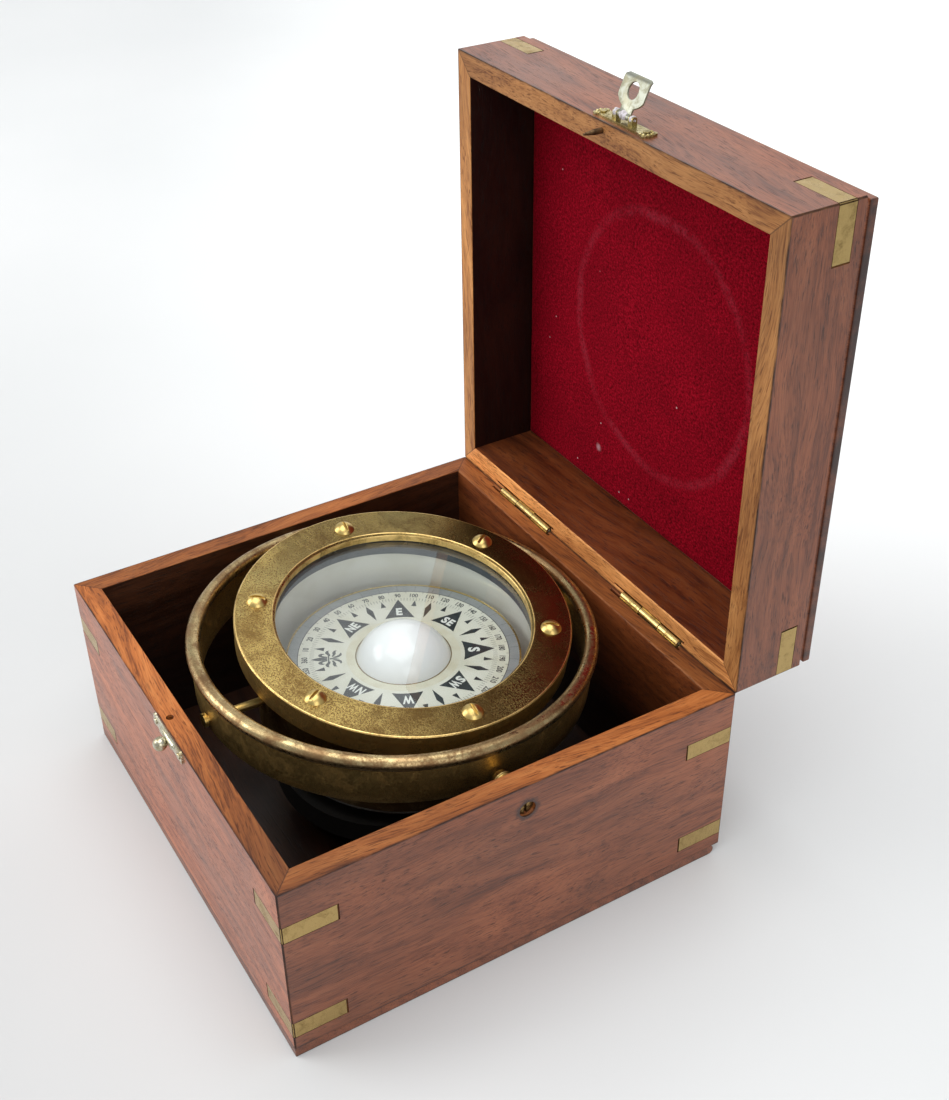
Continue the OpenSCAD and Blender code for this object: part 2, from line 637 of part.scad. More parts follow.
// The weight sits off centre, which sets the tilt that the bowl and ring hang at.
module ballast_weight() color(lead) on_bowl() difference() {
  translate([trim_x, trim_y, -bowl_depth - ballast_h]) cylinder(r = ballast_r, h = ballast_h);
  translate([0, 0, -bowl_depth - ballast_h - 1]) cylinder(r = shank_r, h = ballast_h + 2);
}
module ballast_screw() color(brass) on_bowl() difference() {
  union() {
    translate([0, 0, -bowl_depth - ballast_h]) cylinder(r = shank_r, h = ballast_h);
    translate([0, 0, -bowl_depth - ballast_h - 1.6]) cylinder(r = bolt_r, h = 1.6);
  }
  translate([-4, -0.5, -bowl_depth - ballast_h - 2]) cube([8, 1, 1.2]);
}
// Corrugated disc above the floor that takes up the liquid's expansion.
module expansion_diaphragm() color(brass) on_bowl() rotate_extrude() for (k = [0:2])
  translate([12 + 7 * k, floor_z + 0.6]) square([7.2, k % 2 == 0 ? 1.6 : 0.9]);

// ---------- card ----------
module compass_card() color(ivory) on_card() difference() {
  translate([0, 0, -card_t]) cylinder(r = card_r - 0.7, h = card_t);
  translate([0, 0, -card_t - 1]) cylinder(r = 3, h = 5);
}
module card_rim() color(brass) on_card() difference() {
  translate([0, 0, -card_t - 0.6]) cylinder(r = card_r, h = card_t + 0.9);
  translate([0, 0, -card_t - 2]) cylinder(r = card_r - 0.7, h = 5);
}
module float_dome() color(ivory) on_card() {
  dome_sphere = (dome_r * dome_r + dome_h * dome_h) / (2 * dome_h);
  difference() {
    translate([0, 0, dome_h - dome_sphere]) sphere(r = dome_sphere);
    translate([-60, -60, -2 * dome_sphere]) cube([120, 120, 2 * dome_sphere]);
    translate([0, 0, -1]) cylinder(r = 2.6, h = 2.4);
  }
}
module jewel_cup() color(old_brass) on_card() difference() {
  translate([0, 0, -4.2]) cylinder(r = 2.6, h = 5.4);
  translate([0, 0, -5]) cylinder(r = 1.9, h = 4);
  translate([0, 0, -1.01]) cylinder(r1 = 1.9, r2 = 0.4, h = 1.1);
}
module magnet_bars() color(steel) on_card() for (s = [-1, 1])
  translate([s * 9, 0, -card_t - 1.6]) along_y(1.6, -20, 20);

bottom_board();
front_wall();
rear_wall();
left_wall();
right_wall();
lower_box_straps();
upper_box_straps();
catch_plate();
catch_knob();
catch_nails();
left_hinge_box_leaf();
right_hinge_box_leaf();
left_hinge_pin();
right_hinge_pin();
box_hinge_nails();
left_pivot_screw();
right_pivot_screw();
pivot_lock_nuts();
lid_front_wall();
lid_rear_wall();
lid_left_wall();
lid_right_wall();
lid_top_board();
velvet_lining();
lid_straps();
left_hinge_lid_leaf();
right_hinge_lid_leaf();
lid_hinge_nails();
locating_pin();
hasp_plate();
hasp_nails();
hasp_hinge_pin();
hasp_tongue();
gimbal_ring();
front_bowl_pivot();
rear_bowl_pivot();
bowl();
gasket();
glass();
bezel();
bezel_screws();
pivot_post();
pivot_needle();
lubber_pin();
filler_plug();
ballast_weight();
ballast_screw();
expansion_diaphragm();
compass_card();
card_rim();
float_dome();
jewel_cup();
magnet_bars();
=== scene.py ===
"""Looks of a gimballed ship's compass in its brass-bound wooden box.

Every piece stands in the CAD frame, in metres, and rides on a CAD body.
"""
import json
import math

import bmesh
import bpy
from mathutils import Matrix, Vector, noise


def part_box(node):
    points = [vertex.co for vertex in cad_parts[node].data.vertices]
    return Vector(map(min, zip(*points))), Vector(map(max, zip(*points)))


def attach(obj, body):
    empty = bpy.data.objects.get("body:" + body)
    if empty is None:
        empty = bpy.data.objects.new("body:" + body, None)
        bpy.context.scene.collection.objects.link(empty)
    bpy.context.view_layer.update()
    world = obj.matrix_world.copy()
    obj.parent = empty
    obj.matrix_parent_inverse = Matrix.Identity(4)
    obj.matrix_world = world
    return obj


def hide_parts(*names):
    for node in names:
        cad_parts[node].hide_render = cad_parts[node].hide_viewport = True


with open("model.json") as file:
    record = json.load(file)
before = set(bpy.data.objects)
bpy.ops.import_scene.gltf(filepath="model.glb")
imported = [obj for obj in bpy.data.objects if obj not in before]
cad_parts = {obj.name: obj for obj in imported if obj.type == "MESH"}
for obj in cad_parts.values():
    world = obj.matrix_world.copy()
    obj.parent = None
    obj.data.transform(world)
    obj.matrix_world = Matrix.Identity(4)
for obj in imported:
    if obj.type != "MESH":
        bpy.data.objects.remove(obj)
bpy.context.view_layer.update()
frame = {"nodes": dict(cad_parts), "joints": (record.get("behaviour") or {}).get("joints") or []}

MM = 0.001
NODES = frame["nodes"]
JOINTS = {j["name"]: j for j in frame["joints"]}

# ---------------------------------------------------------------- places
HALF_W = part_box("right_wall")[1].x          # box, middle to outer side face
HALF_D = -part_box("front_wall")[0].y
RIM_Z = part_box("front_wall")[1].z           # top of the box's walls
LID_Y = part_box("lid_front_wall")[0].y       # the open lid's mating face
LID_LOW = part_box("lid_rear_wall")[0].z
LID_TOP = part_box("lid_front_wall")[1].z
PIVOT_Y, PIVOT_Z, THREAD_R = 1.8, 64.2, 3.1     # the outer pivot screws, in mm


def turned(axis, degrees):
    return Matrix.Rotation(math.radians(degrees), 4, axis)


def moved(x=0.0, y=0.0, z=0.0):
    return Matrix.Translation((x, y, z))


def joint_place(name):
    return moved(*JOINTS[name]["pos_m"])


BOWL_TILT, CARD_ROLL, CARD_PITCH, CARD_NORTH = 6.1, -0.9, -0.3, -115.1
gimbal_axis = Vector(JOINTS["bowl_gimbal"]["axis"])
RING_TILT = math.degrees(math.atan2(gimbal_axis.z, gimbal_axis.y))
ON_RING = joint_place("ring_gimbal") @ turned("X", RING_TILT)
ON_BOWL = joint_place("bowl_gimbal") @ turned("X", RING_TILT) @ turned("Y", BOWL_TILT)
ON_CARD = (joint_place("card_spin") @ turned("X", RING_TILT) @ turned("X", -RING_TILT + CARD_ROLL)
           @ turned("Y", CARD_PITCH) @ turned("Z", CARD_NORTH))


# ---------------------------------------------------------------- material kit
class Tree:
    """Adds nodes to a node tree; sockets are passed as inputs, plain values are set."""

    def __init__(self, tree):
        self.tree = tree

    def add(self, kind, ins=None, **props):
        node = self.tree.nodes.new("ShaderNode" + kind)
        for key, value in props.items():
            setattr(node, key, value)
        for key, value in (ins or {}).items():
            if isinstance(value, bpy.types.NodeSocket):
                self.tree.links.new(value, node.inputs[key])
            else:
                node.inputs[key].default_value = value
        return node

    def math(self, op, a, b=0.5, c=None):
        ins = {0: a, 1: b}
        if c is not None:
            ins[2] = c
        return self.add("Math", ins, operation=op).outputs[0]

    def vec(self, op, a, b):
        return self.add("VectorMath", {0: a, 1: b}, operation=op).outputs[0]

    def noise(self, vector, scale, detail=2.0, rough=0.5, distort=0.0, colour=False):
        """Noise of a vector in millimetres; scale is one number or one per axis, per mm."""
        if isinstance(scale, (int, float)):
            scale = (scale,) * 3
        at = self.vec("MULTIPLY", vector, scale)
        node = self.add("TexNoise", {"Vector": at, "Scale": 1.0, "Detail": detail,
                                     "Roughness": rough, "Distortion": distort})
        return node.outputs[1 if colour else 0]

    def ramp(self, fac, stops):
        node = self.add("ValToRGB", {0: fac})
        ramp = node.color_ramp
        while len(ramp.elements) < len(stops):
            ramp.elements.new(0.5)
        for element, (place, colour) in zip(ramp.elements, stops):
            element.position = place
            element.color = (*colour, 1.0)
        return node.outputs[0]

    def span(self, value, low, high, out_low=0.0, out_high=1.0):
        """Maps low..high smoothly onto out_low..out_high, held at both ends."""
        node = self.add("MapRange", {0: value, 1: low, 2: high, 3: out_low, 4: out_high},
                        clamp=True, interpolation_type="SMOOTHSTEP")
        return node.outputs[0]

    def mix(self, fac, a, b, blend="MIX"):
        def colour(v):
            return v if isinstance(v, bpy.types.NodeSocket) else (*v, 1.0)
        node = self.add("Mix", {0: fac, 6: colour(a), 7: colour(b)},
                        data_type="RGBA", blend_type=blend)
        return node.outputs[2]

    def bump(self, height, distance, strength):
        return self.add("Bump", {"Height": height, "Distance": distance, "Strength": strength}).outputs[0]

    def shaded(self, colour, shade):
        """The colour made lighter or darker by a number."""
        grey = self.add("CombineXYZ", {0: shade, 1: shade, 2: shade}).outputs[0]
        return self.mix(1.0, colour, grey, "MULTIPLY")

    def reach(self, u, v):
        """The length of a plane vector (u, v)."""
        return self.math("SQRT", self.math("ADD", self.math("MULTIPLY", u, u), self.math("MULTIPLY", v, v)))


def new_material(name):
    material = bpy.data.materials.new(name)
    material.use_nodes = True
    material.node_tree.nodes.clear()
    return material, Tree(material.node_tree)


def finish_material(t, shader):
    t.add("OutputMaterial", {"Surface": shader})


def place_mm(t, order=(0, 1, 2), offset=(0.0, 0.0, 0.0), twist=(0.0, 0.0, 0.0)):
    """The piece's own coordinates in millimetres, reordered, turned and shifted."""
    at = t.add("TexCoord").outputs["Object"]
    if tuple(order) != (0, 1, 2):
        parts = t.add("SeparateXYZ", {0: at}).outputs
        at = t.add("CombineXYZ", {i: parts[k] for i, k in enumerate(order)}).outputs[0]
    return t.add("Mapping", {"Vector": at, "Scale": (1000.0,) * 3, "Location": offset,
                             "Rotation": tuple(math.radians(a) for a in twist)}).outputs[0]


def axis_of(t, vector, index):
    return t.add("SeparateXYZ", {0: vector}).outputs[index]


# ---------------------------------------------------------------- wood
def grain_group():
    """Fibres along X, in millimetres: broad figure, growth bands, fibre, pores and blotches."""
    group = bpy.data.node_groups.new("grain", "ShaderNodeTree")
    group.interface.new_socket("At", in_out="INPUT", socket_type="NodeSocketVector")
    for name in ("Figure", "Bands", "Fibre", "Pores", "Blotch"):
        group.interface.new_socket(name, in_out="OUTPUT", socket_type="NodeSocketFloat")
    t = Tree(group)
    at = group.nodes.new("NodeGroupInput").outputs[0]
    warp = t.noise(at, (0.011, 0.035, 0.035), 2, colour=True)
    warp = t.vec("SUBTRACT", warp, (0.5, 0.5, 0.5))
    warped = t.vec("ADD", at, t.vec("MULTIPLY", warp, (0.0, 16.0, 16.0)))
    figure = t.noise(warped, (0.016, 0.15, 0.15), 4, 0.62)
    ring = t.vec("ADD", warped, (0.0, 46.0, 37.0))
    parts = t.add("SeparateXYZ", {0: ring}).outputs
    radius = t.reach(parts[1], parts[2])
    radius = t.math("ADD", radius, t.math("MULTIPLY", t.noise(at, (0.006, 0.05, 0.05), 2), 14.0))
    bands = t.math("SINE", t.math("MULTIPLY", radius, 1.15))
    bands = t.math("MULTIPLY_ADD", bands, 0.5, 0.5)
    fibre = t.noise(warped, (0.06, 1.5, 1.5), 3, 0.65)
    fine = t.noise(warped, (0.13, 2.2, 2.2), 2, 0.5)
    long_pores = t.noise(warped, (0.06, 1.5, 1.5), 2, 0.5)
    faint = t.math("MULTIPLY", t.span(long_pores, 0.58, 0.74), 0.8)
    pores = t.math("MAXIMUM", t.span(fine, 0.57, 0.68), faint)
    blotch = t.noise(at, (0.014, 0.03, 0.03), 3, 0.55)
    out = group.nodes.new("NodeGroupOutput")
    for socket, value in zip(out.inputs, (figure, bands, fibre, pores, blotch)):
        group.links.new(value, socket)
    return group


GRAIN = grain_group()
GRAIN_ORDER = {"x": (0, 1, 2), "y": (1, 0, 2), "z": (2, 0, 1)}

# Tones: dark streak, body, light streak and pore colours, roughness, varnish
TONES = {
    "outer": ((0.105, 0.027, 0.010), (0.215, 0.060, 0.022),
              (0.320, 0.103, 0.042), (0.040, 0.010, 0.005), 0.40, 0.18),
    "rim": ((0.130, 0.036, 0.009), (0.300, 0.090, 0.020),
            (0.440, 0.158, 0.042), (0.070, 0.018, 0.006), 0.56, 0.0),
    "lid_rim": ((0.150, 0.051, 0.014), (0.300, 0.126, 0.037),
                (0.430, 0.202, 0.067), (0.080, 0.022, 0.007), 0.56, 0.0),
    # inner and lid_inner_painted_shade: the wood's dark stain darkened much further, painted shade inside the
    # box and on the lid's side walls
    "inner": ((0.010, 0.003, 0.001), (0.022, 0.007, 0.003),
              (0.040, 0.013, 0.005), (0.005, 0.002, 0.001), 0.36, 0.1),
    "lid_inner_painted_shade": ((0.007, 0.001, 0.0004), (0.014, 0.0025, 0.0008),
                  (0.024, 0.005, 0.002), (0.003, 0.001, 0.0004), 0.45, 0.0),
    "lid_floor": ((0.060, 0.013, 0.004), (0.140, 0.034, 0.008),
                  (0.210, 0.060, 0.016), (0.025, 0.006, 0.002), 0.40, 0.1),
}
BURNT = (0.022, 0.007, 0.005)


def plane_mask(t, parts, planes, reach):
    """1 on the given planes (axis, place in mm), falling to 0 at the reach."""
    mask = None
    for axis, place in planes:
        off = t.math("ABSOLUTE", t.math("SUBTRACT", parts[axis], place))
        here = t.span(off, reach, 0.12)
        mask = here if mask is None else t.math("MAXIMUM", mask, here)
    return mask


def wood(name, tone, axis, seed, twist=(0.0, 0.0, 0.0), edges=(), mitre=None, fade=None, stain=None):
    """Wood along an axis. edges: planes where it is rubbed dark; mitre: (axis, middle, half) twice, the joint
    line; fade: painted light and shade as (axis, low, high, value at low, value at high); stain: (axis,
    place, axis, place, radius)."""
    dark, body, light, pore, rough, varnish = TONES[tone]
    material, t = new_material(name)
    shift = [137.0 * math.sin(seed * 2.1 + k) for k in range(3)]
    at = place_mm(t, GRAIN_ORDER[axis], shift, twist)
    grain = t.add("Group", {0: at}, node_tree=GRAIN).outputs
    streak = t.math("ADD", t.math("MULTIPLY", grain["Figure"], 0.55),
                    t.math("MULTIPLY", grain["Bands"], 0.09))
    streak = t.math("ADD", streak, t.math("MULTIPLY", grain["Fibre"], 0.75))
    colour = t.ramp(streak, [(0.52, dark), (0.69, body), (0.90, light)])
    colour = t.mix(t.math("MULTIPLY", grain["Pores"], 0.70), colour, pore)
    shade = t.span(grain["Blotch"], 0.30, 0.72, 0.80, 1.14)
    own = place_mm(t)
    parts = t.add("SeparateXYZ", {0: own}).outputs
    # painted light and shade: the board made lighter or darker along one axis
    if fade is not None:
        shade = t.math("MULTIPLY", shade, t.span(parts[fade[0]], *fade[1:]))
    colour = t.shaded(colour, shade)
    rub = t.span(t.noise(own, (0.09, 0.09, 0.09), 3, 0.6), 0.30, 0.62, 0.30, 0.95)
    if edges:
        colour = t.mix(t.math("MULTIPLY", plane_mask(t, parts, edges, 0.85), rub), colour, BURNT)
    if mitre is not None:
        inset = [t.math("SUBTRACT", half, t.math("ABSOLUTE", t.math("SUBTRACT", parts[k], middle)))
                 for k, middle, half in mitre]
        line = t.span(t.math("ABSOLUTE", t.math("SUBTRACT", inset[0], inset[1])), 0.45, 0.05)
        colour = t.mix(t.math("MULTIPLY", line, 0.62), colour, BURNT)
    if stain is not None:
        u, v = (t.math("SUBTRACT", parts[stain[k]], stain[k + 1]) for k in (0, 2))
        away = t.math("ADD", t.reach(u, v), t.math("MULTIPLY", t.noise(own, 0.5, 2, 0.6), 2.4))
        colour = t.mix(t.math("MULTIPLY", t.span(away, stain[4] + 3.4, stain[4] + 1.4), 0.85), colour, BURNT)
    roughness = t.math("ADD", t.span(grain["Blotch"], 0.2, 0.8, rough - 0.07, rough + 0.07),
                       t.math("MULTIPLY", grain["Pores"], 0.12))
    height = t.math("SUBTRACT", t.math("MULTIPLY", grain["Fibre"], 0.35), grain["Pores"])
    shader = t.add("BsdfPrincipled", {"Base Color": colour, "Roughness": roughness, "IOR": 1.5,
                                      "Coat Weight": varnish, "Coat Roughness": 0.25, "Coat IOR": 1.5,
                                      "Specular IOR Level": 0.5 if varnish else 0.28,
                                      "Normal": t.bump(height, 0.00006, 0.6)})
    finish_material(t, shader.outputs[0])
    return material


# ---------------------------------------------------------------- metals and the rest
def metal(name, base, dark, tarnish, rough, scale, grit=0.0, brush=None, tint=None, bump=0.00002,
          grit_scale=2.3, cloud=0.75, pit=0.55, grit_from=None, spread=0.16, fade=None):
    """Aged metal. tarnish: how much of the dark colour; scale: its patches, per mm; grit: depth of a pitted
    skin; brush: lines, per mm on each axis; tint: a third colour; cloud: soft patches against specks; pit:
    how dark the pits are; grit_from: (axis, low, high) where the grit sets in; spread: how much rougher the
    tarnish is; fade: (axis, low, high, value at low, value at high)."""
    material, t = new_material(name)
    at = place_mm(t)
    patches = t.noise(at, scale, 5, 0.62, 0.6)
    speck = t.noise(at, 1.6, 3, 0.6)
    cover = t.span(t.math("ADD", t.math("MULTIPLY", patches, cloud), t.math("MULTIPLY", speck, 1.0 - cloud)),
                   0.62 - tarnish * 0.5, 0.86 - tarnish * 0.5)
    colour = t.mix(cover, base, dark)
    if tint is not None:
        colour = t.mix(t.span(t.noise(at, scale * 0.6, 3, 0.5), 0.45, 0.72, 0.0, 0.8), colour, tint)
    height = t.math("MULTIPLY", speck, 0.3)
    roughness = t.span(cover, 0.0, 1.0, rough, rough + spread)
    if brush is not None:
        lines = t.noise(at, brush, 2, 0.7)
        height = t.math("ADD", height, lines)
        roughness = t.math("ADD", roughness, t.span(lines, 0.3, 0.7, -0.06, 0.06))
    if grit:
        grain = t.noise(at, grit_scale, 2, 0.7)
        pits = t.span(grain, 0.50, 0.60)
        if grit_from is not None:
            along, low, high = grit_from
            pits = t.math("MULTIPLY", pits, t.span(axis_of(t, at, along), low, high, 0.12, 1.0))
        height = t.math("SUBTRACT", height, t.math("MULTIPLY", pits, grit))
        colour = t.mix(t.math("MULTIPLY", pits, pit), colour, dark)
        roughness = t.math("ADD", roughness, t.math("MULTIPLY", pits, 0.15))
    # painted light and shade: the colour made lighter or darker along one axis
    if fade is not None:
        colour = t.shaded(colour, t.span(axis_of(t, at, fade[0]), *fade[1:]))
    shader = t.add("BsdfPrincipled", {"Base Color": colour, "Metallic": 1.0, "Roughness": roughness,
                                      "Normal": t.bump(height, bump, 0.8)})
    finish_material(t, shader.outputs[0])
    return material


def paint(name, colour, other, rough, scale, bump=0.00001, coat=0.0):
    """A coloured skin with soft patches of a second colour."""
    material, t = new_material(name)
    at = place_mm(t)
    patches = t.span(t.noise(at, scale, 4, 0.55), 0.38, 0.68)
    skin = t.noise(at, 2.2, 3, 0.6)
    shader = t.add("BsdfPrincipled", {
        "Base Color": t.mix(patches, colour, other), "Coat Weight": coat, "Coat Roughness": 0.06,
        "Roughness": t.span(skin, 0.2, 0.8, rough - 0.05, rough + 0.05),
        "Normal": t.bump(skin, bump, 0.5)})
    finish_material(t, shader.outputs[0])
    return material


def clear_glass():
    """Clear, flat pane: it mirrors by its angle and lets the rest straight through."""
    material, t = new_material("pane")
    at = place_mm(t)
    haze = t.noise(at, 0.05, 3, 0.5)
    veil = t.add("BsdfTransparent", {"Color": (0.97, 0.985, 0.98, 1.0)})
    mirror = t.add("BsdfGlossy", {"Color": (1.0, 1.0, 1.0, 1.0),
                                  "Roughness": t.span(haze, 0.3, 0.7, 0.0, 0.03)})
    fresnel = t.add("Fresnel", {"IOR": 1.8}).outputs[0]
    front = t.math("SUBTRACT", 1.0, t.add("NewGeometry").outputs["Backfacing"])
    share = t.math("MULTIPLY", fresnel, front)
    mixed = t.add("MixShader", {0: share, 1: veil.outputs[0], 2: mirror.outputs[0]})
    finish_material(t, mixed.outputs[0])
    return material


M = {
    "strap": metal("strap_brass", (0.50, 0.35, 0.14), (0.30, 0.20, 0.07), 0.30, 0.32, 0.20,
                   brush=(0.35, 0.35, 5.0)),
    "strap_side": metal("strap_brass_side", (0.47, 0.33, 0.13), (0.29, 0.195, 0.07), 0.30, 0.32, 0.20,
                        brush=(4.0, 4.0, 0.35)),
    "seam": metal("strap_seam", (0.12, 0.07, 0.03), (0.04, 0.02, 0.01), 0.5, 0.5, 0.4),
    # bezel: its front painted lighter and its back darker by the fade, painted light and shade
    "bezel": metal("bezel_brass", (0.43, 0.31, 0.105), (0.17, 0.10, 0.03), 0.46, 0.22, 0.07,
                   grit=1.0, tint=(0.30, 0.235, 0.09), bump=0.00010, grit_scale=1.7, cloud=0.70, pit=0.85,
                   grit_from=(1, 40.0, -14.0), spread=0.07, fade=(1, -50.0, 20.0, 1.42, 0.66)),
    "bezel_side": metal("bezel_side_brass", (0.86, 0.61, 0.24), (0.32, 0.20, 0.06), 0.34, 0.36, 0.10,
                        brush=(0.8, 0.8, 6.0)),
    "bowl": metal("bowl_brass", (0.42, 0.30, 0.12), (0.16, 0.09, 0.03), 0.6, 0.38, 0.09),
    "ring": metal("ring_bead", (0.64, 0.51, 0.26), (0.22, 0.13, 0.06), 0.50, 0.24, 0.10,
                  grit=0.15, tint=(0.40, 0.25, 0.12), bump=0.000015, grit_scale=1.0, pit=0.25),
    # band: painted darker towards its bottom, painted shade where it hangs low in the box
    "band": metal("ring_band", (0.84, 0.59, 0.21), (0.40, 0.24, 0.08), 0.40, 0.34, 0.12,
                  grit=0.2, brush=(0.9, 0.9, 5.0), fade=(2, 55.0, 66.0, 0.30, 1.12)),
    # thread: a lighter copy of the pivot screws' brass, painted light where the thread shows in the box's
    # shade
    "thread": metal("thread_brass", (0.86, 0.64, 0.25), (0.50, 0.33, 0.10), 0.20, 0.36, 0.3),
    "bright": metal("screw_brass", (0.66, 0.48, 0.17), (0.40, 0.27, 0.08), 0.20, 0.33, 0.15, bump=0.000005),
    "pin": metal("pin_brass", (0.62, 0.44, 0.17), (0.28, 0.17, 0.06), 0.40, 0.26, 0.3),
    "sunk": metal("sunk_brass", (0.34, 0.22, 0.08), (0.08, 0.04, 0.015), 0.55, 0.34, 0.6),
    "hinge": metal("hinge_brass", (0.66, 0.50, 0.20), (0.34, 0.23, 0.08), 0.40, 0.28, 0.3),
    "nickel": metal("worn_plating", (0.66, 0.63, 0.50), (0.36, 0.31, 0.18), 0.42, 0.24, 0.35,
                    tint=(0.60, 0.50, 0.28)),
    "tongue": metal("pale_plating", (0.41, 0.42, 0.35), (0.27, 0.26, 0.18), 0.42, 0.34, 0.30,
                    tint=(0.40, 0.37, 0.25), bump=0.00004),
    "plate": metal("hasp_gilt", (0.56, 0.46, 0.21), (0.24, 0.18, 0.06), 0.46, 0.24, 0.35,
                   tint=(0.62, 0.56, 0.33), bump=0.00004),
    "bronze": metal("pin_bronze", (0.20, 0.12, 0.06), (0.07, 0.04, 0.022), 0.50, 0.38, 0.3),
    "steel": metal("dull_steel", (0.42, 0.42, 0.43), (0.20, 0.18, 0.16), 0.45, 0.35, 0.4),
    "hoop": metal("hoop_gold", (0.72, 0.56, 0.26), (0.45, 0.33, 0.14), 0.3, 0.25, 0.4),
    # lead: the black-painted ballast made near-black so that it sinks into the shade under the bowl, painted
    # shade
    "lead": paint("lead_painted_shade", (0.006, 0.005, 0.004), (0.010, 0.008, 0.006), 0.70, 0.08),
    "white": paint("bowl_enamel", (0.88, 0.885, 0.83), (0.80, 0.80, 0.72), 0.16, 0.05, coat=0.6),
    "card": paint("card_ivory", (0.74, 0.735, 0.65), (0.66, 0.645, 0.53), 0.35, 0.07, coat=0.2),
    "letter": paint("letter_white", (0.82, 0.83, 0.80), (0.76, 0.77, 0.73), 0.35, 0.2),
    "cream": paint("card_cream", (0.70, 0.675, 0.55), (0.64, 0.60, 0.46), 0.35, 0.2),
    "amber": paint("seal_amber", (0.21, 0.14, 0.055), (0.13, 0.085, 0.035), 0.30, 0.3, coat=0.4),
    "dome": paint("dome_white", (0.95, 0.95, 0.96), (0.91, 0.92, 0.94), 0.16, 0.05, coat=0.4),
    "gasket": paint("gasket_rubber", (0.075, 0.092, 0.110), (0.10, 0.12, 0.14), 0.55, 0.12),
    "smoke": paint("ink_smoke", (0.070, 0.080, 0.080), (0.110, 0.120, 0.120), 0.42, 0.5),
    "ink": paint("ink_charcoal", (0.018, 0.024, 0.028), (0.030, 0.040, 0.046), 0.42, 0.3),
    "grey": paint("ink_grey", (0.25, 0.27, 0.28), (0.31, 0.325, 0.33), 0.40, 0.12),
    "black": paint("black_paint", (0.012, 0.012, 0.013), (0.02, 0.02, 0.022), 0.45, 0.3),
    "crust": paint("hinge_crust", (0.62, 0.58, 0.62), (0.34, 0.31, 0.30), 0.80, 1.3, bump=0.00012),
    "glass": clear_glass(),
}


# ---------------------------------------------------------------- mesh kit
def new_object(name, mesh, body, materials, smooth_angle=None, replaces=()):
    """A piece that rides on a body and the CAD nodes it stands in for."""
    obj = bpy.data.objects.new(name, mesh)
    bpy.context.scene.collection.objects.link(obj)
    for material in materials:
        mesh.materials.append(material)
    if smooth_angle is not None:
        for polygon in mesh.polygons:
            polygon.use_smooth = True
        mesh.set_sharp_from_angle(angle=math.radians(smooth_angle))
    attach(obj, body)
    if replaces:
        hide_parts(*replaces)
    return obj


def mesh_from(bm, name):
    mesh = bpy.data.meshes.new(name)
    bm.to_mesh(mesh)
    bm.free()
    return mesh


def clean_copy(node):
    """A welded copy of a CAD node with its flat faces made whole."""
    bm = bmesh.new()
    bm.from_mesh(NODES[node].data)
    bmesh.ops.remove_doubles(bm, verts=bm.verts, dist=2e-6)
    bmesh.ops.dissolve_degenerate(bm, edges=bm.edges, dist=1e-6)
    bmesh.ops.dissolve_limit(bm, angle_limit=math.radians(0.3), verts=bm.verts, edges=bm.edges)
    return bm


def soften(bm, width, test):
    """Rounds the sharp edges that pass a test of their middle and direction; width in mm."""
    chosen = []
    for edge in bm.edges:
        if len(edge.link_faces) != 2 or edge.calc_face_angle(0.0) < math.radians(25):
            continue
        a, b = (v.co for v in edge.verts)
        if test((a + b) / 2, (b - a).normalized()):
            chosen.append(edge)
    if chosen:
        bmesh.ops.bevel(bm, geom=chosen, offset=width * MM, offset_type="OFFSET", affect="EDGES",
                        segments=3, profile=0.5, clamp_overlap=True, loop_slide=True)


def near(a, b, tolerance=0.02):
    return abs(a - b) < tolerance * MM


# ---------------------------------------------------------------- wooden box
BASE_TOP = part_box("bottom_board")[1].z
# Painted light and shade on the boards: lighter and darker runs where light falls on rims, outer faces and
# inner faces; axis, from, to (mm), value there
RIM_PAINTED_SHADING = {"front_wall": (0, -10.0, 85.0, 1.38, 0.60), "right_wall": (1, -70.0, 70.0, 0.74, 1.25),
            "rear_wall": (0, -70.0, 75.0, 0.95, 0.70),
            "lid_rear_wall": (0, -70.0, 75.0, 3.0, 2.3), "lid_left_wall": (2, 80.0, 240.0, 1.75, 1.50),
            "lid_right_wall": (2, 80.0, 240.0, 1.30, 1.05), "lid_front_wall": (0, -75.0, 70.0, 1.2, 1.05)}
OUTER_PAINTED_SHADING = {"front_wall": (0, -80.0, 80.0, 1.85, 1.95), "right_wall": (1, -60.0, 80.0, 0.97, 1.20)}
INNER_PAINTED_SHADING = {"rear_wall": (2, 22.0, 72.0, 0.12, 1.45), "left_wall": (2, 20.0, 74.0, 0.5, 2.2)}


